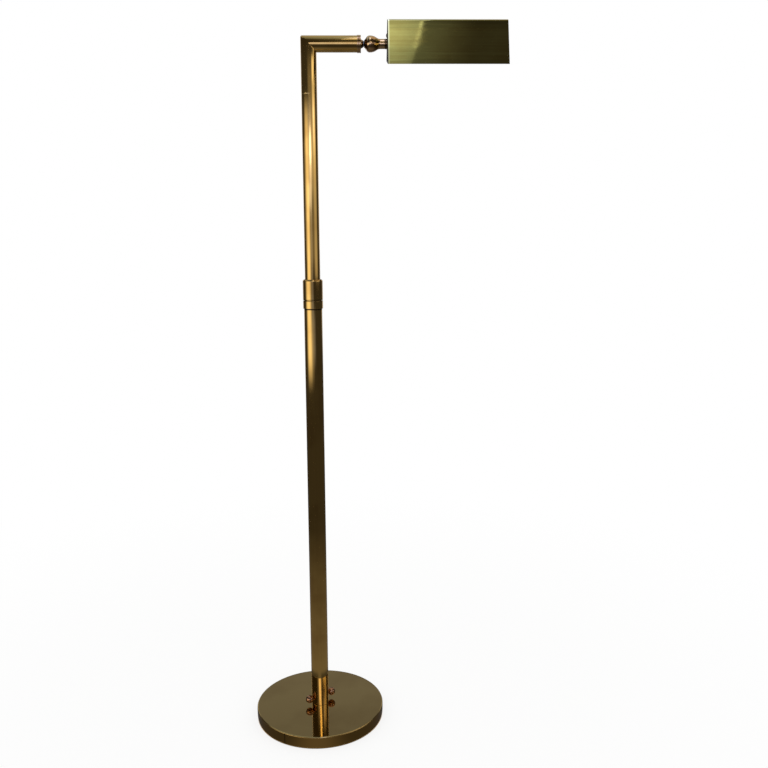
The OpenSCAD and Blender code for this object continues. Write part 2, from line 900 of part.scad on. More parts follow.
// Centre contact of the lampholder
module holder_contact() {
    foot_h = contact_h / 2;
    color("gold")
        on_head()
            translate([0, 0, holder_floor_x]) {
                cylinder(r = bulb_tip_r, h = foot_h);
                translate([0, 0, foot_h])
                    cylinder(r = bulb_tip_r / 2, h = foot_h);
            }
}

// Lead from the arm to the lampholder
module holder_lead() {
    color("black")
        on_head()
            translate([0, 0, pivot_x])
                cylinder(d = lead_d, h = holder_body_x - free_gap - pivot_x);
}

// Screw cap of the bulb
module bulb_cap() {
    cap_r = bulb_cap_d / 2;
    color("silver")
        on_head()
            rotate_extrude()
                polygon([
                    [bulb_tip_r, bulb_cap_x], [cap_r - bulb_cap_wall, bulb_cap_x],
                    [cap_r, bulb_cap_x + bulb_cap_wall],
                    [cap_r, bulb_cap_end], [cap_r - bulb_cap_wall, bulb_cap_end],
                    [cap_r - bulb_cap_wall, bulb_cap_x + bulb_cap_wall],
                    [bulb_tip_r, bulb_cap_x + bulb_cap_wall]
                ]);
}

// Glass-filled tip of the bulb with its contact
module bulb_tip() {
    color("black")
        on_head()
            rotate_extrude()
                polygon([
                    [0, bulb_tip_x], [bulb_tip_r / 2, bulb_tip_x], [bulb_tip_r - fit_gap, bulb_cap_x],
                    [bulb_tip_r - fit_gap, bulb_cap_x + bulb_cap_wall], [0, bulb_cap_x + bulb_cap_wall]
                ]);
}

// One outline of the bulb's glass, set in by a distance, from its neck to its round end
function bulb_side(inset) = concat(
    [[bulb_neck_r - inset, bulb_neck_x], [bulb_neck_r - inset, bulb_cap_end]],
    [for (i = [1 : arc_steps])
        let (step = i / arc_steps, blend = (1 - cos(180 * step)) / 2)
        [bulb_neck_r - inset + (bulb_r - bulb_neck_r) * blend, bulb_cap_end + bulb_shoulder * step]],
    round_edge([0, bulb_cap_end + bulb_len - bulb_r], bulb_r - inset, 0, 90)
);

// Glass of the tubular bulb
module bulb_glass() {
    outer = bulb_side(0);
    inner = bulb_side(bulb_wall);
    color("lightcyan")
        on_head()
            rotate_extrude()
                polygon(concat(outer, [for (i = [len(inner) - 1 : -1 : 0]) inner[i]]));
}

// Glass stem that closes the bulb
module bulb_stem() {
    flare_r = bulb_neck_r - bulb_wall - fit_gap;
    color("lightcyan")
        on_head()
            rotate_extrude()
                polygon([
                    [0, bulb_neck_x], [flare_r, bulb_neck_x], [flare_r, bulb_neck_x + bulb_wall],
                    [bulb_stem_r, bulb_neck_x + 2 * bulb_stem_r], [bulb_stem_r, bulb_stem_end],
                    [0, bulb_stem_end]
                ]);
}

// Filament on its two support wires
module bulb_filament() {
    far = bulb_stem_end + bulb_wire_len;
    color("gray")
        on_head()
            union() {
                for (side = [-1, 1])
                    translate([0, side * bulb_wire_y, bulb_stem_end])
                        cylinder(d = bulb_wire_d, h = far - bulb_stem_end);
                translate([0, -bulb_wire_y, far - bulb_wire_d / 2])
                    rotate([-90, 0, 0])
                        cylinder(d = bulb_wire_d, h = 2 * bulb_wire_y);
            }
}

base_cover();
base_weight();
base_felt();
foot_pipe();
foot_washer();
foot_nut();
foot_plug();
cord_inlet_bush();
lower_tube();
collar_ring();
clamp_collet();
switch_body();
switch_bushings();
switch_rod();
switch_ball_front();
switch_ball_rear();
twist_collar();
guide_bush();
upper_tube();
stop_rings();
lead_bush();
arm_tube();
arm_end_plug();
friction_washer();
arm_lead();
pivot_pipe();
spring_washer();
pivot_nut();
knuckle();
neck_ring();
shade_pipe();
shade_roof();
shade_end_inner();
shade_end_outer();
shade_stiffener();
locating_screw();
shade_lock_nut();
holder_cap();
holder_body();
holder_shell();
holder_contact();
holder_lead();
bulb_cap();
bulb_tip();
bulb_glass();
bulb_stem();
bulb_filament();
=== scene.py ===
"""Looks of a brass pharmacy floor lamp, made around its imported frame. Lengths are in metres."""

import json
import math
from functools import reduce

import bmesh
import bpy
from bpy.props import FloatProperty, FloatVectorProperty, IntProperty, PointerProperty
from bpy.types import Operator, Panel, PropertyGroup
from mathutils import Matrix, Vector


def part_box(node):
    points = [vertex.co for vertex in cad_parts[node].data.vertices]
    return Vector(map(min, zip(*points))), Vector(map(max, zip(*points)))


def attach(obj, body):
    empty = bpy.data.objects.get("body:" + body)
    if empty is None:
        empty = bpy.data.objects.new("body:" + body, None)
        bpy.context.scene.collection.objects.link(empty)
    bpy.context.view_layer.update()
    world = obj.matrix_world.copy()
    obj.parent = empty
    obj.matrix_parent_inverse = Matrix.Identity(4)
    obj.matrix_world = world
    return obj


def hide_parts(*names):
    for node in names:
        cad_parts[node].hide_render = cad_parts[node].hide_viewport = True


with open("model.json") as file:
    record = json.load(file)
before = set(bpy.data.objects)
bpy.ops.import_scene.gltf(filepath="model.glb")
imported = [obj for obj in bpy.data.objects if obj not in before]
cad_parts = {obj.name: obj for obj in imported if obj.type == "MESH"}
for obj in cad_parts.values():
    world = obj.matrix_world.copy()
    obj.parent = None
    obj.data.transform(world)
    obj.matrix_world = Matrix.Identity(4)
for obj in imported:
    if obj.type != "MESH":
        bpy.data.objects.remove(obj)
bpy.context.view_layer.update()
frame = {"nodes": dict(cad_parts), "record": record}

bl_info = {
    "name": "Pharmacy floor lamp",
    "version": (1, 0, 0),
    "blender": (4, 5, 0),
    "location": "3D View > Sidebar > Lamp",
    "description": "Dresses the frame of a brass pharmacy floor lamp",
    "category": "Object",
}

# What the frame says of its nodes
BODY_OF = {n: body for body, nodes in frame["record"]["behaviour"]["bodies"].items() for n in nodes}
SLOT_OF = {p["node"]: p["material_slot"] for p in frame["record"]["subparts"]}
ARM_Z = sum(corner.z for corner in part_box("knuckle")) / 2
POLE_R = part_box("lower_tube")[1].y
ON_ARM = {"centre": (0, 0, ARM_Z), "axis": "X"}
SHADE_ENDS = ("shade_end_inner", "shade_end_outer")

# Turns under this angle belong to a curve and aren't rounded, and edges over this angle are shaded sharp
CURVE_TURN, SHARP = math.radians(20), math.radians(35)
# Points in a rounded corner, and the largest share of a side that it takes
CORNER_STEPS, SIDE_SHARE = 4, 0.45
# A side is a long flat if it is this many times as long as the next one
LONG_FLAT = 3
# Points closer than this are one point
WELD = 1e-7
# Length of plain tube that is kept straight beside the elbow, and of plain sheet beside a bend
BEND_GUARD = 0.001
# Gap between pieces that fit into each other
PLAY = 5e-5
# Depth of the brass's draw lines, height by which the shade's dark bands drift, and bearing of the seam in the base
LINE_DEPTH, BAND_DRIFT, SEAM_AT = 1e-7, 0.012, math.radians(-29.5)


def length(name, default, description):
    """A length that a user may change."""
    return FloatProperty(name=name, description=description, default=default, min=0.0, unit="LENGTH", precision=5)


def colour(name, default, description):
    """A colour that a user may change, in linear values."""
    return FloatVectorProperty(
        name=name, description=description, default=default, min=0.0, max=1.0, size=3, subtype="COLOR"
    )


def angle(name, degrees, description):
    """An angle that a user may change, given in degrees."""
    return FloatProperty(name=name, description=description, default=math.radians(degrees), subtype="ANGLE")


def share(name, default, description, highest=1.0):
    """A plain number from 0 that a user may change."""
    return FloatProperty(name=name, description=description, default=default, min=0.0, max=highest)


class LampSizes(PropertyGroup):
    """Sizes of the pieces that are made here."""

    turn_steps: IntProperty(name="Turned steps", description="Faces around a turned piece", default=160, min=24)
    corner: length("Corner", 0.0004, "Rounding of turned corners")
    cover_wall: length("Cover wall", 0.0015, "Wall of the base's cover")
    cover_edge: length("Cover edge", 0.002, "Rounding of the cover's top edge")
    pole_wall: length("Pole wall", 0.0015, "Wall of the lower tube")
    stem_wall: length("Stem wall", 0.0012, "Wall of the upper tube and the arm")
    clamp_mark: length("Clamp mark", 1.1915, "Height of the mark that an old clamping left on the upper tube")
    stem_radius: length("Stem radius", 0.014, "Radius of the upper tube and the arm")
    elbow_outer: length("Outer elbow", 0.0036, "Rounding of the arm's outer corner")
    elbow_inner: length("Inner elbow", 0.0008, "Solder in the arm's inner corner")
    collar_edge: length("Collar edge", 0.0032, "Rounding of the twist collar's top edge")
    collar_lip: length("Collar lip", 0.005, "Height of the collar's lip")
    ring_width: length("Ring width", 0.0065, "Width of the ring at the arm's end")
    groove: length("Groove", 0.0005, "Half width of the groove in that ring")
    cone_radius: length("Cone radius", 0.008, "Radius of the arm's end cone at the ring")
    waist_radius: length("Waist radius", 0.0053, "Radius of the waist between the arm and the knuckle")
    pivot_radius: length("Pivot radius", 0.0036, "Radius of the bore for the pivot")
    nose_angle: angle("Nose angle", 52, "Half angle of the knuckle's nose")
    nose_round: length("Nose rounding", 0.0065, "Rounding of the nose into the ball")
    bell_length: length("Bell length", 0.0185, "Length of the ball's far half before the neck cuts it")
    neck_radius: length("Neck radius", 0.0083, "Radius of the knuckle's neck")
    throat: length("Throat", 0.004, "Length over which the bell runs out into the neck")
    pipe_radius: length("Pipe radius", 0.00505, "Radius of the bore for the shade's pipe")
    screw_radius: length("Screw radius", 0.002, "Radius of the locating screw")
    screw_head: length("Screw head", 0.0022, "Height of the locating screw's head")
    shade_turn: angle("Shade turn", 13, "Turn of the shade about the arm")
    shade_rise: length("Shade rise", 0.040, "Height of the shade's top above the arm's axis")
    shade_drop: length("Shade drop", 0.0305, "Depth of the shade's rim below the arm's axis")
    shade_top: length("Shade top", 0.022, "Width of the shade's flat top")
    shade_rim: length("Shade rim", 0.104, "Width of the shade's open rim")
    shade_wall: length("Shade wall", 0.001, "Thickness of the shade's sheet")
    shade_bend: length("Shade bend", 0.004, "Radius of the shade's bends")
    shade_end: length("Shade end", 0.0004, "Rounding of the sheet's two ends")
    holder_wall: length("Holder wall", 0.0012, "Wall of the lampholder's cap")
    holder_edge: length("Holder edge", 0.0025, "Rounding of that cap's shoulder")
    bulb_wall: length("Bulb wall", 0.0008, "Wall of the bulb's glass")
    bulb_neck: length("Bulb neck", 0.01245, "Radius of the glass in the bulb's cap")
    bulb_shoulder: length("Bulb shoulder", 0.014, "Length over which the glass widens")
    support_gap: length("Support gap", 0.002, "Distance of each support wire from the bulb's axis")
    support_wire: length("Support wire", 0.0004, "Radius of the filament's support wires")
    coil_radius: length("Coil radius", 0.0003, "Radius of the filament's coil")
    coil_wire: length("Coil wire", 0.0001, "Radius of the filament's wire")
    coil_turns: FloatProperty(name="Coil turns", description="Turns of the filament's coil", default=14.0, min=1.0)


class LampFinish(PropertyGroup):
    """Colours of the lamp's metals and other materials."""

    tube: colour("Tube brass", (0.70, 0.43, 0.125), "Drawn brass of the pole and the arm")
    tube_dark: colour("Tube tarnish", (0.46, 0.25, 0.065), "Tarnish on the tubes")
    # Grime and painted shade: painted shade in the gaps under the collars and around the knuckle's waist, a dark tone
    # on the neck ring and its screw, and the grime of the base's seam
    grime_and_shade: colour("Grime", (0.035, 0.022, 0.012), "Dirt in grooves")
    base: colour("Base brass", (0.50, 0.37, 0.155), "Spun brass of the base")
    base_dark: colour("Base tarnish", (0.40, 0.28, 0.11), "Tarnish on the base")
    # A darker, warmer copy of the base brass for the base's side: painted shade
    base_side_shade: colour("Base edge", (0.48, 0.27, 0.07), "Brass of the base's side")
    shade: colour("Shade brass", (0.57, 0.53, 0.18), "Brushed brass of the shade")
    shade_dark: colour("Shade tarnish", (0.42, 0.33, 0.09), "Tarnish on the shade")
    # Dark bands along the shade's top and rim: part stain, part painted shade of the uneven light that it mirrors
    sheet_stain_and_shade: colour("Shade stain", (0.29, 0.25, 0.075), "Dark bands along the shade's top and rim")
    # Painted highlight along the shade's inner end, brighter towards the top
    painted_edge_highlight: colour("Worn edge", (0.95, 0.90, 0.62), "Polished edges of the shade")
    # The clamping's rubbed mark, part wear and part painted highlight: it is laid pale only on the tube's lit left
    # side
    rubbed_and_lit: colour("Rubbed brass", (0.92, 0.68, 0.32), "Mark rubbed on the upper tube")
    paint: colour("Inside paint", (0.80, 0.78, 0.71), "White paint inside the shade")
    knuckle: colour("Knuckle brass", (0.62, 0.40, 0.19), "Turned brass of the knuckle")
    knuckle_dark: colour("Knuckle tarnish", (0.33, 0.16, 0.06), "Tarnish on the knuckle")
    # A darker, redder brass than the tubes' for the balls: painted shade of the dark that they mirror
    ball: colour("Ball brass", (0.43, 0.22, 0.115), "Turned brass of the switch's balls")
    ball_dark: colour("Ball tarnish", (0.19, 0.075, 0.038), "Tarnish on the balls")
    steel: colour("Plated steel", (0.60, 0.60, 0.58), "Pipes, nuts and washers")
    iron: colour("Cast iron", (0.055, 0.053, 0.05), "Weight in the base")
    felt: colour("Felt", (0.022, 0.03, 0.022), "Pad under the base")
    porcelain: colour("Porcelain", (0.80, 0.78, 0.72), "Body of the lampholder")
    black: colour("Black moulding", (0.018, 0.018, 0.017), "Bushes and the switch's body")
    pale: colour("Pale moulding", (0.70, 0.66, 0.54), "Guide bush and lead bush")
    lead: colour("Lead cover", (0.03, 0.022, 0.016), "Cover of the lamp's lead")


class LampStage(PropertyGroup):
    """Camera, floor and light."""

    lens: FloatProperty(name="Lens", description="Focal length in millimetres", default=39.876, min=10.0)
    camera_place: FloatVectorProperty(
        name="Camera", description="Place of the camera", default=(0.1303, -1.5716, 0.9499), subtype="TRANSLATION"
    )
    camera_yaw: angle("Yaw", -1.2, "Turn of the camera around the pole")
    camera_pitch: angle("Pitch", 10.076, "Tilt of the camera below the horizon")
    camera_roll: angle("Roll", 0.222, "Roll of the camera")
    floor: colour("Floor", (0.90, 0.90, 0.89), "Colour of the floor")
    floor_glow: share("Floor glow", 0.8, "Share of the floor that looks plain white")
    world: share("Daylight", 1.0, "Level of the even light all around", 2.0)
    front: length("Front lights", 2.35, "Distance of the soft lights near the camera")
    tent: length("Tent radius", 3.5, "Distance of the wall around the lamp that mirrors show")
    ceiling: length("Ceiling", 3.4, "Height of the ceiling that mirrors show")
    gloom: share("Gloom", 0.05, "Level of the wall between its windows")
    zenith: share("Zenith", 0.65, "Level of the ceiling above the lamp")
    cool: colour("Cool light", (0.52, 0.66, 0.85), "Colour of the sky light on the ceiling")
    lamp_tone: colour("Lamp tone", (0.94, 1.0, 0.95), "Colour of the ceiling around its lamps")
    dim_tone: colour("Dim tone", (1.0, 0.9, 0.78), "Colour of the ceiling beyond the shade's end")
    near: colour("Near light", (0.5, 0.58, 1.0), "Colour of the lights near the camera and of the last ceiling lamp")


# Soft windows in the wall: bearing, half width and fade in degrees, lower and upper edge, their blur, level
WINDOWS = (
    (-49.0, 6.0, 40.0, 0.13, 1.62, 0.14, 1.55),
    (-89.0, 5.0, 15.0, 0.85, 1.5, 0.1, 0.2),
    (-12.0, 8.0, 22.0, 0.1, 0.4, 0.1, 0.2),
    (12.0, 10.0, 32.0, 0.75, 1.9, 0.1, 0.2),
    (20.0, 12.0, 22.0, 1.2, 1.62, 0.12, 0.35),
    (66.0, 8.0, 30.0, 0.69, 1.93, 0.03, 0.55),
    (66.0, 8.0, 26.0, 1.3, 1.76, 0.2, 0.7),
    (60.0, 6.0, 18.0, 1.8, 1.93, 0.03, 0.8),
    (84.0, 7.0, 9.0, 1.85, 2.2, 0.05, 0.75),
    (12.0, 4.0, 12.0, 2.1, 2.4, 0.06, 2.8),
    (-155.0, 8.0, 12.0, 0.3, 2.4, 0.2, 0.8),
    (155.0, 8.0, 12.0, 0.3, 2.4, 0.2, 0.8),
)
# Cool soft lights near the camera, given in the same way
FRONT_LIGHTS = (
    (3.0, 5.0, 15.0, 1.26, 1.40, 0.03, 4.5),
    (-3.0, 6.0, 18.0, 1.06, 1.27, 0.05, 1.3),
    (0.0, 8.0, 34.0, 1.17, 1.48, 0.09, 1.0),
    (-28.0, 6.0, 16.0, 1.06, 1.17, 0.045, 0.7),
    (61.0, 6.0, 14.0, 1.37, 1.51, 0.065, 1.8),
    (4.0, 10.0, 25.0, 0.37, 0.59, 0.065, 0.35),
    (0.0, 3.0, 14.0, 0.57, 1.11, 0.09, 0.45),
)
# Round lamps in the ceiling: place, half width, half depth, level in the middle and at the edge, rim, halo, the
# place from which a lamp is dimmer, and its share of light there
LAMPS = (
    (0.2, -1.6, 0.204, 0.834, 1.1, 0.5, 0.8, 0.1, -2.104, 0.68),
    (0.2, -0.6, 0.18, 0.45, 4.0, 3.6, 0.0, 0.2, -2.0, 1.0),
)


# Meshes


def place(name, mesh):
    """A new object for a mesh, at the origin."""
    piece = bpy.data.objects.new(name, mesh)
    bpy.context.scene.collection.objects.link(piece)
    return piece


def finished(name, work):
    """A new object from a work mesh, shaded smooth between its sharp edges."""
    mesh = bpy.data.meshes.new(name)
    work.to_mesh(mesh)
    work.free()
    mesh.shade_smooth()
    mesh.set_sharp_from_angle(angle=SHARP)
    return place(name, mesh)


def solid(name, points, faces):
    """A closed piece from its points and faces, with doubles merged and faces outwards."""
    draft = bpy.data.meshes.new("draft")
    draft.from_pydata([tuple(p) for p in points], [], faces)
    work = bmesh.new()
    work.from_mesh(draft)
    bpy.data.meshes.remove(draft)
    bmesh.ops.remove_doubles(work, verts=work.verts, dist=WELD)
    bmesh.ops.recalc_face_normals(work, faces=work.faces)
    return finished(name, work)


def grid_faces(columns, rows, closed=True):
    """Faces of a grid whose rows close, and its columns too if they are to."""
    faces = []
    for i in range(columns if closed else columns - 1):
        for k in range(rows):
            right, up = (i + 1) % columns, (k + 1) % rows
            faces.append((i * rows + k, right * rows + k, right * rows + up, i * rows + up))
    return faces


def arc(centre, radius, start, end, steps=12):
    """Points of an arc, from one angle in degrees to another."""
    turns = [math.radians(start + (end - start) * k / steps) for k in range(steps + 1)]
    return [(centre[0] + radius * math.cos(t), centre[1] + radius * math.sin(t)) for t in turns]


def curve(start, corner, end, steps):
    """Points of a curve from start to end that bends towards a corner."""
    shares = [k / steps for k in range(steps + 1)]
    return [start * (1 - t) ** 2 + corner * (2 * t * (1 - t)) + end * t**2 for t in shares]


def soften(outline, radius):
    """A closed outline with its sharp corners rounded."""
    rounded = []
    for i, point in enumerate(outline):
        here = Vector(point)
        sides = [Vector(outline[k % len(outline)]) - here for k in (i - 1, i + 1)]
        turn = math.pi - sides[0].angle(sides[1])
        if turn < CURVE_TURN or here.x < WELD:
            rounded.append(here)
            continue
        reach = min(radius * math.tan(turn / 2), *(SIDE_SHARE * side.length for side in sides))
        start, end = (here + side.normalized() * reach for side in sides)
        rounded += curve(start, here, end, CORNER_STEPS)
    return rounded


def guarded(outline):
    """A closed outline with points beside its curves' ends, so that long flats stay flat when shaded smooth."""
    points, held = [Vector(p) for p in outline], []
    for i, here in enumerate(points):
        after, next_one = points[(i + 1) % len(points)], points[(i + 2) % len(points)]
        along, short_back, short_ahead = after - here, (here - points[i - 1]).length, (next_one - after).length
        held.append(here)
        if short_back < along.length / LONG_FLAT:
            held.append(here + along.normalized() * short_back)
        if short_ahead < along.length / LONG_FLAT:
            held.append(after - along.normalized() * short_ahead)
    return held


def sleeve(inner, outer, low, high):
    """Outline of a plain sleeve."""
    return [(inner, low), (outer, low), (outer, high), (inner, high)]


def spun(name, outline, steps, placed):
    """A closed outline of radius and place along Z, spun around Z and put where placed() says."""
    points = []
    for i in range(steps):
        turn = 2 * math.pi * i / steps
        for radius, along in outline:
            points.append(placed(Vector((radius * math.cos(turn), radius * math.sin(turn), along))))
    return solid(name, points, grid_faces(steps, len(outline)))


def turned(name, outline, centre=(0, 0, 0), axis="Z", steps=None):
    """A solid turned around an axis, from its outline of radius and place along that axis."""
    steps = steps or bpy.context.scene.lamp_sizes.turn_steps
    return spun(name, guarded(outline), steps, lambda p: Vector(centre) + (p if axis == "Z" else p.zxy))


def rod(name, start, end, radius, steps=64):
    """A plain round rod between two points."""
    start, end = Vector(start), Vector(end)
    turn = (end - start).to_track_quat("Z", "Y").to_matrix()
    return spun(name, sleeve(0, radius, 0, (end - start).length), steps, lambda p: start + turn @ p)


def plain_mesh(piece):
    """Turns the evaluated piece into a plain mesh without modifiers."""
    graph = bpy.context.evaluated_depsgraph_get()
    mesh = bpy.data.meshes.new_from_object(piece.evaluated_get(graph))
    piece.modifiers.clear()
    piece.data = mesh
    return piece


def drill(piece, cutter):
    """Cuts the shape of another object out of a piece."""
    cut = piece.modifiers.new("drill", "BOOLEAN")
    cut.operation, cut.solver, cut.object = "DIFFERENCE", "EXACT", cutter
    plain_mesh(piece).data.set_sharp_from_angle(angle=SHARP)
    bpy.data.objects.remove(cutter)


def merged(name, *pieces):
    """One piece in the place of several."""
    work = bmesh.new()
    for piece in pieces:
        work.from_mesh(piece.data)
        bpy.data.objects.remove(piece)
    return finished(name, work)


def winding_tree():
    """Geometry nodes that wind a round wire into a coil along Z."""
    tree = bpy.data.node_groups.new("winding", "GeometryNodeTree")
    for name in ("Turns", "Radius", "Length", "Wire"):
        tree.interface.new_socket(name, in_out="INPUT", socket_type="NodeSocketFloat")
    tree.interface.new_socket("Finish", in_out="INPUT", socket_type="NodeSocketMaterial")
    tree.interface.new_socket("Geometry", in_out="OUTPUT", socket_type="NodeSocketGeometry")
    given, path, profile, sweep, real, finish, made = (tree.nodes.new(kind) for kind in (
        "NodeGroupInput", "GeometryNodeCurveSpiral", "GeometryNodeCurvePrimitiveCircle", "GeometryNodeCurveToMesh",
        "GeometryNodeRealizeInstances", "GeometryNodeSetMaterial", "NodeGroupOutput",
    ))
    path.inputs["Resolution"].default_value = 24
    profile.inputs["Resolution"].default_value = 10
    sweep.inputs["Fill Caps"].default_value = True
    for start, output, end, entry in (
        (given, "Turns", path, "Rotations"),
        (given, "Radius", path, "Start Radius"),
        (given, "Radius", path, "End Radius"),
        (given, "Length", path, "Height"),
        (given, "Wire", profile, "Radius"),
        (path, "Curve", sweep, "Curve"),
        (profile, "Curve", sweep, "Profile Curve"),
        (sweep, "Mesh", real, "Geometry"),
        (real, "Geometry", finish, "Geometry"),
        (given, "Finish", finish, "Material"),
        (finish, "Geometry", made, "Geometry"),
    ):
        tree.links.new(start.outputs[output], end.inputs[entry])
    return tree


def winding(name, finish, **sizes):
    """A coil of wire along Z, wound by geometry nodes and kept as a plain mesh."""
    piece = place(name, bpy.data.meshes.new(name))
    coil = piece.modifiers.new("winding", "NODES")
    coil.node_group = bpy.data.node_groups.get("winding") or winding_tree()
    values = {"Finish": finish, **{key.capitalize(): value for key, value in sizes.items()}}
    for item in coil.node_group.interface.items_tree:
        if item.in_out == "INPUT":
            coil[item.identifier] = values[item.name]
    return plain_mesh(piece)


def mark_grain(piece, axis):
    """Stores each point's place across and along the way that the metal was drawn."""
    spots = [c for v in piece.data.vertices for c in (v.co if axis == "Z" else v.co.zyx)]
    piece.data.attributes.new("drawn", "FLOAT_VECTOR", "POINT").data.foreach_set("vector", spots)


def dress(piece, node):
    """Gives a piece the finish of the node that it replaces and lets it ride on that node's body."""
    slot = SLOT_OF[node]
    piece.data.materials.clear()
    piece.data.materials.append(bpy.data.materials[slot])
    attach(piece, BODY_OF[node])
    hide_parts(node)


def lathe(node, how, outline, rounding, move=None, **placing):
    """Turns an outline with its corners rounded, moves the piece and dresses it as a node."""
    piece = turned(f"{node}_{how}", soften(outline, rounding), **placing)
    if move is not None:
        piece.data.transform(move)
    dress(piece, node)


def radius_of(node):
    """Radius of a round node that lies along X or Y."""
    low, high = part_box(node)
    return (high.z - low.z) / 2


def ball_middles():
    """Middles of the toe switch's two balls."""
    return [sum(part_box(node), Vector()) / 2 for node in ("switch_ball_front", "switch_ball_rear")]


def shade_slope(sizes):
    """How far the shade's panels lean from upright."""
    return math.atan2((sizes.shade_rim - sizes.shade_top) / 2, sizes.shade_rise + sizes.shade_drop)


def on_shade(sizes):
    """Moves what is built on the X axis to the arm's axis, turned as the shade hangs."""
    return Matrix.Translation((0, 0, ARM_Z)) @ Matrix.Rotation(sizes.shade_turn, 4, "X")


# Materials


class Finish:
    """A procedural material, built node by node."""

    def __init__(self, name, shader="ShaderNodeBsdfPrincipled"):
        self.material = bpy.data.materials.get(name) or bpy.data.materials.new(name)
        self.material.use_nodes = True
        self.tree = self.material.node_tree
        self.tree.nodes.clear()
        self.out = self.node("ShaderNodeOutputMaterial").inputs["Surface"]
        self.shader = self.node(shader)
        self.put(self.out, self.shader.outputs[0])
        self.place = self.node("ShaderNodeTexCoord").outputs["Object"]

    def put(self, socket, value):
        """Links a socket to another, or sets its value."""
        if isinstance(value, bpy.types.NodeSocket):
            self.tree.links.new(value, socket)
        else:
            socket.default_value = value

    def node(self, kind, *values, **settings):
        """A new node with its settings, and with values for its first inputs."""
        made = self.tree.nodes.new(kind)
        for key, value in settings.items():
            setattr(made, key, value)
        for socket, value in zip(made.inputs, values):
            self.put(socket, value)
        return made

    def surface(self, **values):
        """Sets inputs of the shader by their names, with spaces as underscores."""
        for key, value in values.items():
            self.put(self.shader.inputs[key.replace("_", " ")], value)

    def math(self, operation, *values):
        """Result of a math node."""
        return self.node("ShaderNodeMath", *values, operation=operation).outputs[0]

    def product(self, *values):
        """All values multiplied."""
        return reduce(lambda first, second: self.math("MULTIPLY", first, second), values)

    def total(self, *values):
        """All values added."""
        return reduce(lambda first, second: self.math("ADD", first, second), values)

    def off(self, value, place_at):
        """How far a value is from a place, either way."""
        return self.math("ABSOLUTE", self.math("SUBTRACT", value, place_at))

    def hypotenuse(self, first, second):
        """Root of the sum of two squares."""
        return self.math("SQRT", self.total(self.math("POWER", first, 2.0), self.math("POWER", second, 2.0)))

    def along(self, first, second, turn):
        """Distance along a direction, turned from the way of the first value towards that of the second."""
        return self.math("MULTIPLY_ADD", first, math.cos(turn), self.math("MULTIPLY", second, math.sin(turn)))

    def span(self, value, low, high, start=0.0, end=1.0, soft=False):
        """Maps a value from one span to another, and stops at its ends."""
        kind = "SMOOTHSTEP" if soft else "LINEAR"
        made = self.node("ShaderNodeMapRange", value, low, high, start, end, clamp=True, interpolation_type=kind)
        return made.outputs["Result"]

    def noise(self, scale, stretch=(1, 1, 1), detail=4.0, source=None):
        """Noise on coordinates that are stretched along each axis."""
        spread = self.node("ShaderNodeVectorMath", source or self.place, stretch, operation="MULTIPLY")
        made = self.node("ShaderNodeTexNoise", spread.outputs[0])
        made.inputs["Scale"].default_value = scale
        made.inputs["Detail"].default_value = detail
        return made.outputs["Fac"]

    def blend(self, factor, first, second):
        """One colour blended into another."""
        made = self.node("ShaderNodeMix", factor, data_type="RGBA")
        for socket, value in zip((made.inputs[6], made.inputs[7]), (first, second)):
            self.put(socket, value if isinstance(value, bpy.types.NodeSocket) else (*value, 1.0))
        return made.outputs[2]

    def bump(self, height, depth, strength, under=None):
        """A normal from a height, on top of another normal if there is one."""
        made = self.node("ShaderNodeBump")
        made.inputs["Distance"].default_value = depth
        made.inputs["Strength"].default_value = strength
        self.put(made.inputs["Height"], height)
        if under is not None:
            self.put(made.inputs["Normal"], under)
        return made.outputs["Normal"]

    def axis(self, index):
        """One of the object's coordinates: 0 for X, 1 for Y and 2 for Z."""
        return self.node("ShaderNodeSeparateXYZ", self.place).outputs[index]

    def away(self):
        """Distance from the object's origin."""
        return self.node("ShaderNodeVectorMath", self.place, operation="LENGTH").outputs["Value"]

    def bearing(self):
        """Angle around Z, from 0 on the camera's side."""
        return self.math("ARCTAN2", self.axis(0), self.math("MULTIPLY", self.axis(1), -1.0))

    def around_axis(self):
        """Coordinates of rings around Z: distance from the axis, and height."""
        across = self.hypotenuse(self.axis(0), self.axis(1))
        return self.node("ShaderNodeCombineXYZ", across, 0.0, self.axis(2)).outputs[0]


def shaded(tone, level):
    """A colour times a level, kept within what a colour can be."""
    return tuple(min(1.0, level * c) for c in tone)


def brass(name, clean, tarnish, grain, rough, lie=None, cloud=14.0, streak=0.15):
    """Aged polished brass: clouds of tarnish, draw lines along the grain, dark specks and fine dents."""
    finish = Finish(name)
    lines_on = None
    if lie == "rings":
        lines_on = finish.around_axis()
    elif lie == "drawn":
        lines_on = finish.node("ShaderNodeAttribute", attribute_name="drawn").outputs["Vector"]
    clouds = finish.span(finish.noise(cloud, detail=6.0), 0.42, 0.72)
    lines = finish.noise(1.0, grain, 3.0, lines_on)
    wide_lines = finish.noise(0.3, grain, 2.0, lines_on)
    stain = finish.span(finish.total(clouds, finish.span(wide_lines, 0.35, 0.7, -streak, streak)), 0.1, 1.1)
    specks = finish.span(finish.noise(900.0, detail=2.0), 0.74, 0.80, 0.0, 0.4)
    tint = finish.blend(stain, clean, tarnish)
    tint = finish.blend(finish.span(lines, 0.35, 0.65, 0.0, streak), tint, tarnish)
    finish.tint = finish.blend(specks, tint, shaded(tarnish, 0.25))
    finish.rough = finish.span(finish.total(stain, finish.span(lines, 0.3, 0.7, -0.3, 0.3)), 0.0, 1.0, *rough)
    dents = finish.bump(finish.noise(60.0, detail=1.0), 1.5e-5, 0.5)
    normal = finish.bump(lines, LINE_DEPTH, 0.6, dents)
    finish.surface(Base_Color=finish.tint, Metallic=1.0, Roughness=finish.rough, Normal=normal)
    return finish


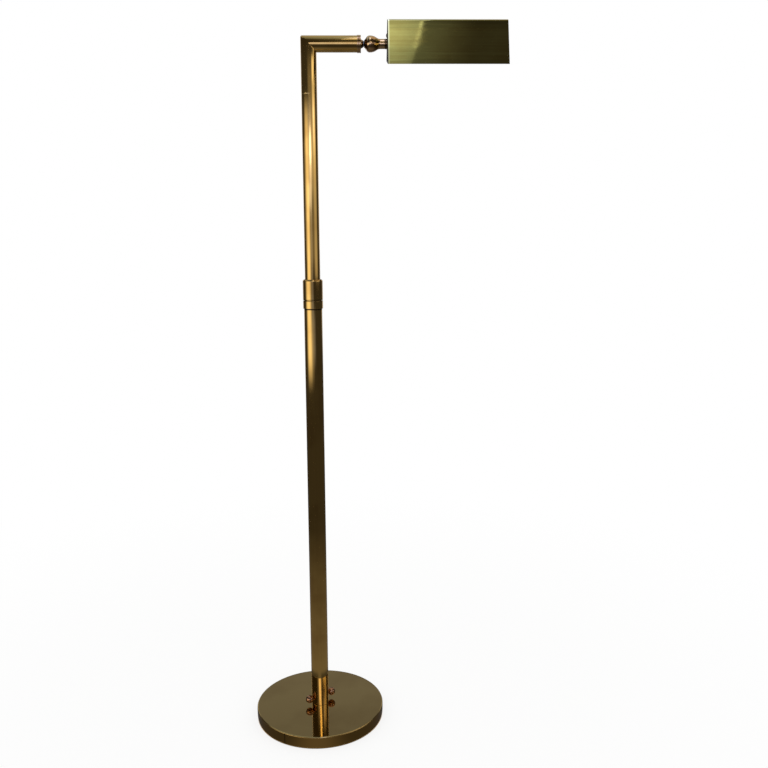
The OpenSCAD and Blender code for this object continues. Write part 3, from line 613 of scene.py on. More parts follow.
def lay(finish, mask, tone, rough=None):
    """Lays a tone over a brass where the mask says so, and a roughness if one is given."""
    finish.tint = finish.blend(mask, finish.tint, tone)
    finish.surface(Base_Color=finish.tint)
    if rough is not None:
        finish.surface(Roughness=finish.span(mask, 0.0, 1.0, finish.rough, rough))


def paint_shade_under(finish, node, tone):
    """Paints shade into the gap under a node: darkens the metal just below it."""
    low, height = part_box(node)[0].z, finish.axis(2)
    above = finish.span(height, low - 0.0030, low - 0.0012)
    below = finish.span(height, low + 0.0006, low + 0.0018, 1.0, 0.0)
    lay(finish, finish.product(above, below), tone)


def paint_inside(finish, sizes, tone):
    """Paints the shade's inside: what lies under its sheet and between its end plates."""
    turn, slope, under, blur = sizes.shade_turn, shade_slope(sizes), 0.75 * sizes.shade_wall, 1e-5
    deep, high = finish.axis(1), finish.math("SUBTRACT", finish.axis(2), ARM_Z)
    across, up = finish.along(deep, high, turn), finish.along(high, deep, -turn)
    reach = finish.along(finish.math("ABSOLUTE", across), up, slope)
    panel = sizes.shade_rim / 2 * math.cos(slope) - sizes.shade_drop * math.sin(slope)
    limits = [(reach, panel - under, -1), (up, sizes.shade_rise - under, -1)]
    for node, side in zip(SHADE_ENDS, (1, -1)):
        limits.append((finish.axis(0), sum(corner.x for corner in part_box(node)) / 2, side))
    inside = finish.product(*(
        finish.span(value, limit - blur, limit + blur, (1 - side) / 2, (1 + side) / 2) for value, limit, side in limits
    ))
    spots = finish.span(finish.noise(300.0, detail=3.0), 0.4, 0.7, 0.0, 0.5)
    lay(finish, inside, finish.blend(spots, tone, shaded(tone, 0.88)), 0.42)
    finish.surface(Metallic=finish.math("SUBTRACT", 1.0, inside))


def plain(name, tint, rough, metallic=0.0, grain=90.0, depth=4e-5, spread=0.25):
    """A moulded, cast or plated surface: uneven colour, uneven gloss and a fine texture."""
    finish = Finish(name)
    clouds = finish.noise(grain * 0.4, detail=5.0)
    pits = finish.noise(grain * 12.0, detail=3.0)
    base = finish.blend(finish.span(clouds, 0.35, 0.7), tint, shaded(tint, 1 - spread))
    gloss = finish.span(pits, 0.3, 0.7, *rough)
    finish.surface(Base_Color=base, Metallic=metallic, Roughness=gloss, Normal=finish.bump(pits, depth, 0.5))
    return finish


def felt_finish(name, tint):
    """Pressed felt: matted fibres with a soft sheen."""
    finish = Finish(name)
    fibres = finish.noise(2600.0, (1.0, 1.0, 2.0), 6.0)
    mats = finish.noise(220.0)
    tone = finish.blend(finish.span(fibres, 0.3, 0.7), tint, shaded(tint, 2.2))
    tone = finish.blend(finish.span(mats, 0.4, 0.7, 0.0, 0.5), tone, shaded(tint, 0.5))
    finish.surface(Base_Color=tone, Roughness=0.95, Normal=finish.bump(fibres, 2e-4, 0.8))
    finish.surface(Sheen_Weight=0.4, Sheen_Roughness=0.5)


def glass_finish(name):
    """Clear glass with faint drawn waves and a little dust."""
    finish = Finish(name)
    waves = finish.noise(40.0, (0.3, 1.0, 1.0), 2.0)
    dust = finish.noise(1400.0, detail=2.0)
    finish.surface(Base_Color=finish.blend(finish.span(dust, 0.6, 0.8), (1.0, 1.0, 1.0), (0.93, 0.93, 0.90)))
    finish.surface(Transmission_Weight=1.0, IOR=1.46, Roughness=finish.span(dust, 0.55, 0.8, 0.0, 0.08))
    finish.surface(Normal=finish.bump(waves, 1e-4, 0.3))


class LAMP_OT_finishes(Operator):
    """Make the lamp's materials"""

    bl_idname = "lamp.finishes"
    bl_label = "Mix finishes"

    def pole(self, sizes, tones):
        """Brass of the tubes and the collar, with painted shade in their gaps, and the rubbed mark of an old clamping,
        painted pale only on the tube's lit left side.
        """
        metal = tones.tube, tones.tube_dark
        tube = brass("tube_brass", *metal, (1000.0, 1000.0, 7.0), (0.045, 0.075), "drawn")
        # Painted shade in the gaps under the fixed ring and under the twist collar
        paint_shade_under(tube, "collar_ring", tones.grime_and_shade)
        collar = brass("collar_brass", *metal, (3.0, 1.0, 2400.0), (0.05, 0.085), "rings")
        paint_shade_under(collar, "twist_collar", tones.grime_and_shade)
        brass("inner_brass", *metal, (7.0, 1000.0, 1000.0), (0.2, 0.35))
        # Rubbed mark of an old clamping, painted pale only on the left, where light falls: part wear, part painted
        # highlight
        near = tube.span(tube.off(tube.axis(2), sizes.clamp_mark), 0.0004, 0.0013, 1.0, 0.0)
        lit_left = tube.span(tube.axis(0), -0.002, 0.004, 0.5, 0.0)
        broken = tube.span(tube.noise(150.0), 0.3, 0.5)
        lay(tube, tube.product(near, lit_left, broken), tones.rubbed_and_lit, 0.4)

    def base(self, tones):
        """Spun brass of the base, with a darker, warmer copy of it on its side as painted shade, and a dark seam with
        grime there.
        """
        base = brass("base_brass", tones.base, tones.base_dark, (1500.0, 1.0, 700.0), (0.05, 0.08), "rings", 9.0, 0.06)
        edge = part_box("base_cover")[1].z - 0.0006
        # Painted shade: the base's side gets a darker, warmer copy of its brass
        side = base.span(base.axis(2), edge - 0.0008, edge + 0.0004, 1.0, 0.0)
        lay(base, side, tones.base_side_shade)
        seam = base.span(base.off(base.bearing(), SEAM_AT), 0.004, 0.011, 0.7, 0.0)
        lay(base, base.product(seam, side), tones.grime_and_shade)

    def knuckle(self, tones):
        """Turned brass of the knuckle, with painted shade around its waist and its neck ring and screw darkened, and
        of the switch's balls.
        """
        grain, rough = (2400.0, 40.0, 40.0), (0.12, 0.17)
        knuckle = brass("knuckle_brass", tones.knuckle, tones.knuckle_dark, grain, rough, cloud=60.0)
        along = knuckle.axis(0)
        # Painted shade around the waist between the arm's plug and the knuckle
        waist = 0.5 * (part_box("arm_end_plug")[1].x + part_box("knuckle")[0].x)
        lay(knuckle, knuckle.span(knuckle.off(along, waist), 0.0015, 0.006, 0.9, 0.0), tones.grime_and_shade)
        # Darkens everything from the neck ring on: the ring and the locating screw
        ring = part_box("neck_ring")[0].x
        lay(knuckle, knuckle.span(along, ring - 0.0006, ring + 0.0001, 0.0, 0.85), tones.grime_and_shade)
        # The switch's balls get that darker, redder brass: painted shade
        brass("switch_brass", tones.ball, tones.ball_dark, (60.0, 60.0, 60.0), (0.16, 0.2), cloud=40.0, streak=0.05)

    def shade(self, sizes, tones):
        """Brushed brass of the shade's sheet, with dark bands of stain and painted shade and a painted highlight along
        its inner end, and of its end plates, all painted inside.
        """
        sheet, ends = (
            brass(name, tones.shade, tones.shade_dark, grain, (0.035, 0.075), streak=0.4)
            for name, grain in (("shade_brass", (7.0, 900.0, 900.0)), ("shade_end_brass", (900.0, 7.0, 900.0)))
        )
        start, top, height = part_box("shade_roof")[0].x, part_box("shade_roof")[1].z, sheet.axis(2)
        # Dark bands along the top and the rim of the shade, part stain and part painted shade, with edges that drift
        # in height
        drift = sheet.product(sheet.noise(1.0, (9.0, 160.0, 160.0), 3.0), 2 * BAND_DRIFT)
        level = sheet.total(height, sheet.math("SUBTRACT", drift, BAND_DRIFT))
        upper = sheet.span(level, top - 0.022, top - 0.008, 0.0, 0.8, soft=True)
        lower = sheet.span(level, top - 0.077, top - 0.072, 0.4, 0.0, soft=True)
        lay(sheet, sheet.total(upper, lower), tones.sheet_stain_and_shade)
        # Painted highlight: a pale band along the sheet's inner end, fading towards the rim
        edge = sheet.span(sheet.axis(0), start + 0.002, start + 0.0038, 1.0, 0.0)
        highlight_fade = sheet.span(height, top - 0.060, top - 0.040, 0.6, 0.9)
        lay(sheet, sheet.product(edge, highlight_fade), tones.painted_edge_highlight)
        for finish in (sheet, ends):
            finish.surface(Coat_Weight=0.3, Coat_Roughness=0.04)
            paint_inside(finish, sizes, tones.paint)

    def others(self, tones):
        """Steel, iron, felt, porcelain, glass and mouldings."""
        plain("plated_steel", tones.steel, (0.22, 0.38), 1.0, spread=0.15)
        plain("cast_iron", tones.iron, (0.6, 0.9), 0.6, 40.0, 4e-4)
        plain("porcelain", tones.porcelain, (0.06, 0.16), depth=1e-5, spread=0.06).surface(Coat_Weight=0.5)
        plain("black_plastic", tones.black, (0.35, 0.55))
        plain("pale_plastic", tones.pale, (0.35, 0.5), spread=0.08)
        plain("lead_cover", tones.lead, (0.5, 0.7), grain=300.0)
        felt_finish("felt", tones.felt)
        glass_finish("bulb_glass")

    def execute(self, context):
        sizes, tones = context.scene.lamp_sizes, context.scene.lamp_finish
        self.pole(sizes, tones)
        self.base(tones)
        self.knuckle(tones)
        self.shade(sizes, tones)
        self.others(tones)
        for node, piece in frame["nodes"].items():
            piece.data.materials.clear()
            finish = "shade_end_brass" if node in SHADE_ENDS else SLOT_OF[node]
            piece.data.materials.append(bpy.data.materials[finish])
        return {"FINISHED"}


# Pieces


class LAMP_OT_base(Operator):
    """Make the base's cover and the bush of the cord inlet"""

    bl_idname = "lamp.base"
    bl_label = "Base"

    def execute(self, context):
        sizes = context.scene.lamp_sizes
        low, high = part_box("base_cover")
        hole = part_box("foot_pipe")[1].x
        inner, under, edge = high.x - sizes.cover_wall, high.z - sizes.cover_wall, sizes.cover_edge
        outline = [(hole, under), (inner, under), (inner, low.z), (high.x, low.z)]
        outline += arc((high.x - edge, high.z - edge), edge, 0, 90) + [(hole, high.z)]
        cover = turned("base_cover_spun", soften(outline, sizes.corner), steps=2 * sizes.turn_steps)
        barrel, bore, overlap, flange = 0.005, 0.0035, 0.004, radius_of("cord_inlet_bush")
        bush_low, bush_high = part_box("cord_inlet_bush")
        start, end, axis_z = bush_low.y, bush_high.y, (bush_low.z + bush_high.z) / 2
        drill(cover, rod("inlet_hole", (0, inner - overlap, axis_z), (0, end, axis_z), barrel + PLAY))
        dress(cover, "base_cover")
        outline = [(bore, start), (barrel, start), (barrel, high.x), (flange, high.x), (flange, end), (bore, end)]
        move = Matrix.Translation((0, 0, axis_z)) @ Matrix.Rotation(math.pi / 2, 4, "Z")
        lathe("cord_inlet_bush", "moulded", outline, rounding=0.0008, move=move, axis="X", steps=96)
        return {"FINISHED"}


class LAMP_OT_tubes(Operator):
    """Make the lower tube, the upper tube and the arm"""

    bl_idname = "lamp.tubes"
    bl_label = "Tubes"

    def elbow_tube(self, name, sizes, upright, far):
        """One leg of the mitred corner: the upright stem, or the arm, which mirrors it in the mitre."""
        steps, bends = sizes.turn_steps, 6
        points = []
        for i in range(steps):
            turn = 2 * math.pi * i / steps
            rows = []
            for radius, rounded in ((sizes.stem_radius, True), (sizes.stem_radius - sizes.stem_wall, False)):
                out, side = radius * math.cos(turn), radius * math.sin(turn)
                rounding = max(-math.cos(turn) * sizes.elbow_outer, math.cos(turn) * sizes.elbow_inner)
                rounding = rounding if rounded else 0.0
                centre = Vector((out + rounding, -out - rounding))
                row = [(out, far), (out, centre.y - BEND_GUARD), *arc(centre, rounding, 180, 135, bends)]
                rows.append([(x, side, z) for x, z in row])
            points += rows[0] + rows[1][::-1]
        if not upright:
            points = [(-z, y, -x) for x, y, z in points]
        points = [(x, y, z + ARM_Z) for x, y, z in points]
        return solid(name, points, grid_faces(steps, 2 * (bends + 3)))

    def execute(self, context):
        sizes = context.scene.lamp_sizes
        low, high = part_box("lower_tube")
        outline, hole = sleeve(high.y - sizes.pole_wall, high.y, low.z, high.z), 0.00413
        pole = turned("lower_tube_drawn", soften(outline, sizes.corner))
        drill(pole, rod("switch_hole", *ball_middles(), hole))
        stem = self.elbow_tube("upper_tube_drawn", sizes, True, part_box("upper_tube")[0].z - ARM_Z)
        arm = self.elbow_tube("arm_tube_drawn", sizes, False, -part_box("arm_tube")[1].x)
        for piece, axis, node in ((pole, "Z", "lower_tube"), (stem, "Z", "upper_tube"), (arm, "X", "arm_tube")):
            mark_grain(piece, axis)
            dress(piece, node)
        return {"FINISHED"}


class LAMP_OT_collar(Operator):
    """Make the fixed ring and the twist collar"""

    bl_idname = "lamp.collar"
    bl_label = "Collar"

    def execute(self, context):
        sizes = context.scene.lamp_sizes
        low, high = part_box("collar_ring")
        lathe("collar_ring", "turned", sleeve(POLE_R + PLAY, high.y, low.z, high.z), rounding=0.0006)
        low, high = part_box("twist_collar")
        turning_play, lip_play = 8e-5, 3e-4
        bore, lip = POLE_R + turning_play, sizes.stem_radius + lip_play
        edge, lip_z = sizes.collar_edge, high.z - sizes.collar_lip
        outline = [(bore, low.z), (high.y, low.z)]
        outline += arc((high.y - edge, high.z - edge), edge, 0, 90)
        outline += [(lip, high.z), (lip, lip_z), (bore, lip_z)]
        lathe("twist_collar", "turned", outline, rounding=0.0006)
        return {"FINISHED"}


class LAMP_OT_switch(Operator):
    """Make the balls and the rod of the toe switch"""

    bl_idname = "lamp.switch"
    bl_label = "Toe switch"

    def execute(self, context):
        front, rear = ball_middles()
        radius, shank, grip = radius_of("switch_ball_front"), 0.0025, 0.008
        bore, floor = shank + PLAY, radius - grip
        mouth = math.degrees(math.asin(bore / radius))
        for node, centre, other in (("switch_ball_front", front, rear), ("switch_ball_rear", rear, front)):
            outline = arc((0, 0), radius, 90 - mouth, -90, 40) + [(0, floor), (bore, floor)]
            turn = (other - centre).to_track_quat("Z", "Y").to_matrix().to_4x4()
            lathe(node, "turned", outline, rounding=0.0003, move=Matrix.Translation(centre) @ turn, steps=96)
        inset = (rear - front).normalized() * floor
        dress(rod("switch_rod_drawn", front + inset, rear - inset, shank, 48), "switch_rod")
        return {"FINISHED"}


class LAMP_OT_knuckle(Operator):
    """Make the arm's end plug, the knuckle, its ring and the locating screw"""

    bl_idname = "lamp.knuckle"
    bl_label = "Knuckle"

    def plug(self, sizes):
        """The plug in the arm's end: a grooved ring and a cone down to the waist."""
        low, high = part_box("arm_end_plug")
        ring, seat, bore, groove = high.y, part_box("arm_tube")[1].x, sizes.pivot_radius, sizes.groove
        ring_end, middle = seat + sizes.ring_width, seat + sizes.ring_width / 2
        inside, groove_floor = sizes.stem_radius - sizes.stem_wall - PLAY, ring - 1.6 * groove
        outline = [
            (bore, low.x), (inside, low.x), (inside, seat), (ring, seat), (ring, middle - groove),
            (groove_floor, middle), (ring, middle + groove), (ring, ring_end),
            (sizes.cone_radius, ring_end), (sizes.waist_radius, high.x), (bore, high.x),
        ]
        lathe("arm_end_plug", "turned", outline, sizes.corner, **ON_ARM)

    def ball(self, sizes):
        """The knuckle: a nose cone, a ball drawn out into a bell, and a neck."""
        low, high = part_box("knuckle")
        ball, nose, crown, neck = radius_of("knuckle"), sizes.nose_angle, sizes.nose_round, sizes.neck_radius
        steps, run_out, throat_steps, pipe_end = 24, 6, 8, high.x - 0.01
        cone = (ball - crown * (1 - math.cos(nose)) - sizes.waist_radius) / math.tan(nose)
        middle = low.x + cone + crown * math.sin(nose)
        meets_neck = math.acos(neck / ball)
        outline = [(sizes.pivot_radius, low.x), (sizes.waist_radius, low.x)]
        outline += arc((ball - crown, middle), crown, -math.degrees(nose), 0, steps)
        for k in range(1, steps - run_out + 1):
            turn = meets_neck * k / steps
            outline.append((ball * math.cos(turn), middle + sizes.bell_length * math.sin(turn)))
        corner = Vector((neck, middle + sizes.bell_length * math.sin(meets_neck)))
        outline += curve(Vector(outline[-1]), corner, corner + Vector((0, sizes.throat)), throat_steps)[1:]
        outline += [(neck, high.x), (sizes.pipe_radius, high.x)]
        outline += [(sizes.pipe_radius, pipe_end), (sizes.pivot_radius, pipe_end)]
        lathe("knuckle", "turned", outline, rounding=0.0006, **ON_ARM)

    def screw(self, sizes):
        """The locating screw with its domed head."""
        low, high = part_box("locating_screw")
        rim, height, shank = radius_of("locating_screw"), sizes.screw_head, sizes.screw_radius
        dome = (rim**2 + height**2) / (2 * height)
        reach = math.degrees(math.asin(rim / dome))
        outline = [(r, low.x + dome - a) for a, r in arc((0, 0), dome, 0, reach, 16)]
        outline += [(shank, low.x + height), (shank, high.x), (0, high.x)]
        centre = (0, (low.y + high.y) / 2, (low.z + high.z) / 2)
        lathe("locating_screw", "turned", outline, rounding=0.0003, centre=centre, axis="X", steps=64)

    def execute(self, context):
        sizes = context.scene.lamp_sizes
        self.plug(sizes)
        self.ball(sizes)
        low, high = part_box("neck_ring")
        outline = sleeve(sizes.pipe_radius, radius_of("neck_ring"), low.x, high.x)
        lathe("neck_ring", "turned", outline, rounding=0.0007, **ON_ARM)
        self.screw(sizes)
        return {"FINISHED"}


class LAMP_OT_shade(Operator):
    """Make the folded sheet of the shade"""

    bl_idname = "lamp.shade"
    bl_label = "Shade"

    def outline(self, sizes, inset):
        """The shade's outline from one rim over the top to the other, set in by a distance."""
        slope, bend, steps = shade_slope(sizes), sizes.shade_bend, 16
        half_top = sizes.shade_top / 2 - bend * (1 - math.sin(slope)) / math.cos(slope)
        middle = Vector((half_top, sizes.shade_rise - bend))
        rim = Vector((sizes.shade_rim / 2 - inset / math.cos(slope), -sizes.shade_drop))
        fold = [Vector(p) for p in arc(middle, bend - inset, math.degrees(slope), 90, steps)]
        before = fold[0] + (rim - fold[0]).normalized() * BEND_GUARD
        half = [rim, before, *fold, fold[-1] - Vector((BEND_GUARD, 0))]
        return [(y, z) for y, z in half] + [(-y, z) for y, z in half[::-1]]

    def execute(self, context):
        sizes = context.scene.lamp_sizes
        low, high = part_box("shade_roof")
        edge, rounds = sizes.shade_end, 5
        turns = [math.pi / 2 * k / rounds for k in range(rounds + 1)]
        stations = [(edge * (1 - math.sin(turn)), edge * (1 - math.cos(turn))) for turn in turns]
        stations.append((0.0, edge + BEND_GUARD))
        rows = [(low.x + along, inset) for inset, along in stations]
        rows += [(high.x - along, inset) for inset, along in stations[::-1]]
        inner = self.outline(sizes, sizes.shade_wall)[::-1]
        points = []
        for x, inset in rows:
            points += [(x, y, z) for y, z in self.outline(sizes, inset) + inner]
        half, count = len(inner), 2 * len(inner)
        faces = grid_faces(len(rows), count, closed=False)
        for start in (0, len(points) - count):
            end = start + count - 1
            faces += [(start + k, start + k + 1, end - 1 - k, end - k) for k in range(half - 1)]
        sheet = solid("shade_sheet_folded", points, faces)
        sheet.data.transform(on_shade(sizes))
        dress(sheet, "shade_roof")
        return {"FINISHED"}


class LAMP_OT_holder(Operator):
    """Make the lampholder's cap and its porcelain body"""

    bl_idname = "lamp.holder"
    bl_label = "Lampholder"

    def execute(self, context):
        sizes = context.scene.lamp_sizes
        edge, wall, bore = sizes.holder_edge, sizes.holder_wall, sizes.pipe_radius
        low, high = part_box("holder_cap")
        rim, mouth = radius_of("holder_cap"), high.x
        outline = [(bore, low.x)] + arc((rim - edge, low.x + edge), edge, -90, 0)
        outline += [(rim, mouth), (rim - wall, mouth), (rim - wall, low.x + wall), (bore, low.x + wall)]
        lathe("holder_cap", "spun", outline, rounding=0.0003, **ON_ARM)
        low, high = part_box("holder_body")
        barrel, front, floor = rim - wall - PLAY, radius_of("holder_body"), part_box("holder_shell")[0].x
        bore = radius_of("holder_shell") + PLAY
        outline = [
            (0, low.x), (barrel, low.x), (barrel, mouth), (front, mouth),
            (front, high.x), (bore, high.x), (bore, floor), (0, floor),
        ]
        lathe("holder_body", "fired", outline, rounding=0.001, **ON_ARM)
        return {"FINISHED"}


class LAMP_OT_bulb(Operator):
    """Make the bulb's glass and its filament"""

    bl_idname = "lamp.bulb"
    bl_label = "Bulb"

    def glass_side(self, sizes, inset):
        """One outline of the glass from its neck to its round end, set in by a distance."""
        low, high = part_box("bulb_glass")
        radius, start, steps = radius_of("bulb_glass"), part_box("bulb_cap")[1].x, 24
        neck = sizes.bulb_neck - inset
        side = [(neck, low.x)]
        for k in range(steps + 1):
            widened = (1 - math.cos(math.pi * k / steps)) / 2
            side.append((neck + (radius - sizes.bulb_neck) * widened, start + sizes.bulb_shoulder * k / steps))
        return side + arc((0, high.x - radius), radius - inset, 0, 90, steps)

    def execute(self, context):
        sizes = context.scene.lamp_sizes
        outline = self.glass_side(sizes, 0.0) + self.glass_side(sizes, sizes.bulb_wall)[::-1]
        dress(turned("bulb_glass_blown", outline, **ON_ARM), "bulb_glass")
        start, end = (corner.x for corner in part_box("bulb_filament"))
        wire, gap = sizes.support_wire, sizes.support_gap
        supports = [rod(f"support_{side}", (start, side * gap, 0), (end, side * gap, 0), wire, 16) for side in (-1, 1)]
        coil = winding(
            "filament_coil", bpy.data.materials[SLOT_OF["bulb_filament"]],
            turns=sizes.coil_turns, radius=sizes.coil_radius, length=2 * gap, wire=sizes.coil_wire,
        )
        coil.data.transform(Matrix.Translation((end - wire, gap, 0)) @ Matrix.Rotation(math.pi / 2, 4, "X"))
        filament = merged("bulb_filament_wound", *supports, coil)
        filament.data.transform(on_shade(sizes))
        dress(filament, "bulb_filament")
        return {"FINISHED"}


class LAMP_OT_stage(Operator):
    """Set the camera, the floor, the even light and the cards that the metal mirrors"""

    bl_idname = "lamp.stage"
    bl_label = "Stage"

    def camera(self, stage):
        """The camera, tilted and rolled where it stands, and then turned around the pole."""
        eye = place("camera", bpy.data.cameras.new("camera"))
        eye.data.lens, eye.data.sensor_width, eye.data.clip_end = stage.lens, 36.0, 200.0
        yaw, pitch, roll = (
            Matrix.Rotation(turn, 4, axis) for turn, axis in (
                (stage.camera_yaw, "Z"), (math.pi / 2 - stage.camera_pitch, "X"), (-stage.camera_roll, "Z")
            )
        )
        eye.matrix_world = yaw @ Matrix.Translation(stage.camera_place) @ pitch @ roll
        bpy.context.scene.camera = eye

    def world(self, stage):
        """Even light from all around, which mirrors don't show."""
        world = bpy.data.worlds.new("even_light")
        bpy.context.scene.world = world
        world.use_nodes = True
        light = world.node_tree.nodes["Background"]
        light.inputs["Color"].default_value = (1.0, 1.0, 1.0, 1.0)
        light.inputs["Strength"].default_value = stage.world
        world.cycles_visibility.glossy = False

    def floor(self, stage):
        """A pale floor that stays white to the eye and in mirrors, and keeps the lamp's shadow."""
        finish = Finish("floor_white")
        finish.surface(Base_Color=(*stage.floor, 1.0), Roughness=1.0, Specular_IOR_Level=0.0)
        glow, rays = finish.node("ShaderNodeEmission"), finish.node("ShaderNodeLightPath").outputs
        seen = finish.math("MAXIMUM", rays["Is Camera Ray"], rays["Is Glossy Ray"])
        seen = finish.math("MAXIMUM", seen, rays["Is Transmission Ray"])
        near, far = 0.3, 1.6
        white = finish.span(finish.away(), near, far, stage.floor_glow, 1.0, soft=True)
        shaders = finish.shader.outputs[0], glow.outputs[0]
        mix = finish.node("ShaderNodeMixShader", finish.product(seen, white), *shaders)
        finish.put(finish.out, mix.outputs[0])
        mesh = bpy.data.meshes.new("floor")
        work = bmesh.new()
        bmesh.ops.create_circle(work, cap_ends=True, segments=96, radius=60.0)
        work.to_mesh(mesh)
        work.free()
        mesh.materials.append(finish.material)
        ground = place("floor", mesh)
        ground.location.z = -1e-4

    def card(self, name, points, faces):
        """A card that only mirrors show. Its level of light is still to be set."""
        finish = Finish(f"card_{name}", "ShaderNodeEmission")
        finish.material.cycles.emission_sampling = "NONE"
        mesh = bpy.data.meshes.new(f"card_{name}")
        mesh.from_pydata(points, [], faces)
        mesh.materials.append(finish.material)
        piece = place(f"card_{name}", mesh)
        for kind in ("camera", "diffuse", "transmission", "shadow", "volume_scatter"):
            setattr(piece, f"visible_{kind}", False)
        return finish

    def ring(self, inner, outer):
        """Points and faces of a ring between two (radius, height) circles around the pole."""
        steps, points = 96, []
        for k in range(steps):
            turn = 2 * math.pi * k / steps
            for radius, height in (inner, outer):
                points.append((radius * math.sin(turn), -radius * math.cos(turn), height))
        last = 2 * steps
        return points, [(2 * k, 2 * k + 1, (2 * k + 3) % last, (2 * k + 2) % last) for k in range(steps)]

    def floor_card(self, stage):
        """The floor that mirrors show: dim near the base, darker further out, and shadowed close to the base."""
        inner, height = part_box("base_cover")[1].x + 0.002, 5e-4
        finish = self.card("floor", *self.ring((inner, height), (stage.tent, height)))
        away, near, far, lit = finish.away(), 0.19, 1.1, 0.2
        level = finish.span(away, near, far, lit, stage.gloom)
        sideways = finish.math("DIVIDE", finish.math("ABSOLUTE", finish.axis(0)), away)
        behind, beside, shadow_from, shadow_to = 0.9, 0.38, 0.17, 0.2
        shadow = finish.span(sideways, 0.04, 0.6, behind, beside, soft=True)
        shadow = finish.span(away, shadow_from, shadow_to, shadow, 1.0, soft=True)
        finish.surface(Strength=finish.product(level, shadow))

    def windows(self, finish, total, lights):
        """Gives a card its level, with soft windows added to it."""
        bearing, height = finish.math("DEGREES", finish.bearing()), finish.axis(2)
        for middle, core, fade, low, high, blur, level in lights:
            off = finish.math("WRAP", finish.math("SUBTRACT", bearing, middle), -180.0, 180.0)
            across = finish.span(finish.math("ABSOLUTE", off), core, core + fade, 1.0, 0.0, soft=True)
            above = finish.span(height, low - blur, low + blur, 0.0, level, soft=True)
            below = finish.span(height, high - blur, high + blur, 1.0, 0.0, soft=True)
            total = finish.total(total, finish.product(across, above, below))
        finish.surface(Strength=total)

    def wall_card(self, stage):
        """The dim wall around the lamp, with soft windows in it."""
        finish = self.card("wall", *self.ring((stage.tent, 0.0), (stage.tent, stage.ceiling)))
        self.windows(finish, stage.gloom, WINDOWS)

    def front_card(self, stage):
        """Soft lights near the camera, on a clear screen."""
        low, high = 0.3, 1.9
        finish = self.card("front", *self.ring((stage.front, low), (stage.front, high)))
        self.windows(finish, 0.0, FRONT_LIGHTS)
        finish.surface(Color=(*stage.near, 1.0))
        clear = finish.node("ShaderNodeBsdfTransparent").outputs[0]
        both = finish.node("ShaderNodeAddShader", finish.shader.outputs[0], clear)
        finish.put(finish.out, both.outputs[0])

    def ceiling_card(self, stage):
        """The ceiling, with round lamps in it that have a bright rim. The last one has the near lights' colour."""
        finish = self.card("ceiling", *self.ring((0.0, stage.ceiling), (stage.tent, stage.ceiling)))
        x, y, blur, brink = finish.axis(0), finish.axis(1), 0.008, (0.99, 1.0)
        total = finish.span(y, -1.1, -0.6, stage.gloom, stage.zenith, soft=True)
        for lamp_x, lamp_y, wide, deep, core, edge, rim, glow, sill, dimmed in LAMPS:
            across = finish.math("DIVIDE", finish.math("SUBTRACT", x, lamp_x), wide)
            along = finish.math("DIVIDE", finish.math("SUBTRACT", y, lamp_y), deep)
            out = finish.hypotenuse(across, along)
            within, beyond = finish.span(out, *brink, 1.0, 0.0), finish.span(out, *brink)
            lit = finish.span(y, sill - blur, sill + blur, dimmed, 1.0)
            disc = finish.product(finish.span(out, 0.45, 0.97, core, edge), lit)
            line = finish.span(out, 0.92, 0.94, 0.0, finish.span(y, sill - blur, sill + blur, 0.0, rim))
            halo = finish.product(finish.span(out, brink[0], 2.4, glow, 0.0, soft=True), beyond)
            total = finish.total(total, finish.product(finish.total(disc, line), within), halo)
        sky = finish.product(finish.span(y, -1.2, -0.9), finish.span(y, 0.4, 0.8, 1.0, 0.0))
        sky = finish.product(sky, finish.span(x, 0.08, 0.14, 1.0, 0.0))
        tone = finish.blend(finish.span(x, 0.33, 0.65), stage.lamp_tone, stage.dim_tone)
        tone = finish.blend(sky, tone, stage.cool)
        finish.surface(Strength=total, Color=finish.blend(within, tone, stage.near))

    def back_card(self, stage):
        """The low grey screen behind the lamp, which the base's top mirrors."""
        half, away, low, high, lit, dim = 0.5, 1.0, 0.3, 0.9, 0.29, 0.22
        corners = [(-half, away, low), (half, away, low), (half, away, high), (-half, away, high)]
        finish = self.card("back", corners, [(0, 1, 2, 3)])
        finish.surface(Strength=finish.span(finish.axis(2), 0.45, 0.8, lit, dim))

    def execute(self, context):
        stage = context.scene.lamp_stage
        context.scene.view_settings.view_transform = "Standard"
        for build in (
            self.camera, self.world, self.floor, self.floor_card, self.wall_card, self.front_card,
            self.ceiling_card, self.back_card,
        ):
            build(stage)
        return {"FINISHED"}


class LAMP_PT_panel(Panel):
    """Sidebar panel with the lamp's sizes, colours and steps"""

    bl_idname = "LAMP_PT_panel"
    bl_label = "Floor lamp"
    bl_space_type = "VIEW_3D"
    bl_region_type = "UI"
    bl_category = "Lamp"

    def draw(self, context):
        for step in STEPS:
            self.layout.operator(step.bl_idname)
        for group in (context.scene.lamp_sizes, context.scene.lamp_finish, context.scene.lamp_stage):
            column = self.layout.box().column()
            for key in group.bl_rna.properties.keys():
                if key not in ("rna_type", "name"):
                    column.prop(group, key)


GROUPS = {"lamp_sizes": LampSizes, "lamp_finish": LampFinish, "lamp_stage": LampStage}
STEPS = (
    LAMP_OT_finishes, LAMP_OT_base, LAMP_OT_tubes, LAMP_OT_collar, LAMP_OT_switch, LAMP_OT_knuckle,
    LAMP_OT_shade, LAMP_OT_holder, LAMP_OT_bulb, LAMP_OT_stage,
)


def register():
    for item in (*GROUPS.values(), *STEPS, LAMP_PT_panel):
        bpy.utils.register_class(item)
    for key, group in GROUPS.items():
        setattr(bpy.types.Scene, key, PointerProperty(type=group))


def unregister():
    for key in GROUPS:
        delattr(bpy.types.Scene, key)
    for item in (LAMP_PT_panel, *reversed(STEPS), *GROUPS.values()):
        bpy.utils.unregister_class(item)


def main():
    register()
    for step in STEPS:
        family, name = step.bl_idname.split(".")
        getattr(getattr(bpy.ops, family), name)()


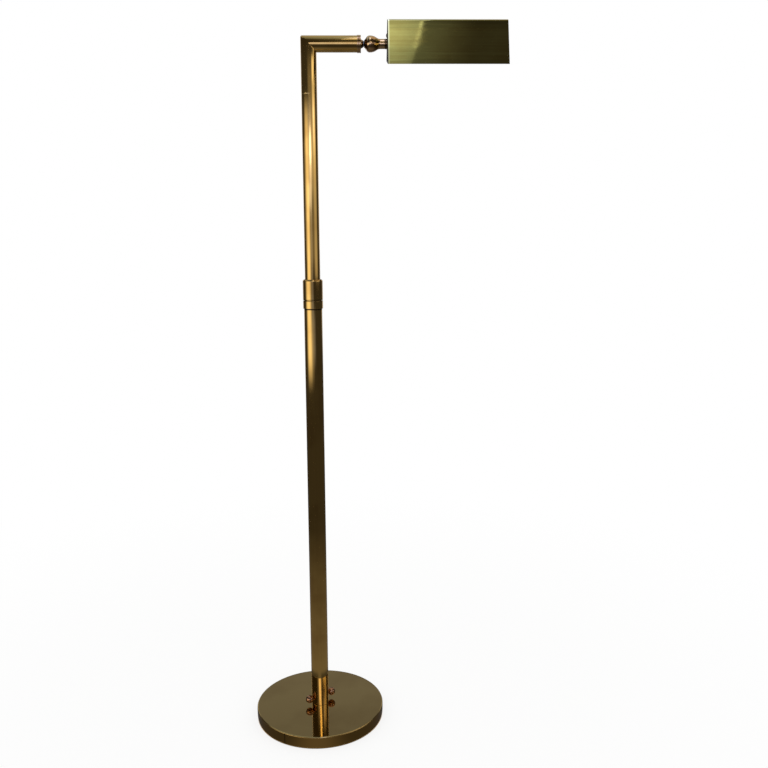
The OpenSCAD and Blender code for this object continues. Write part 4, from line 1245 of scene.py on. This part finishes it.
if __name__ == "__main__":
    main()
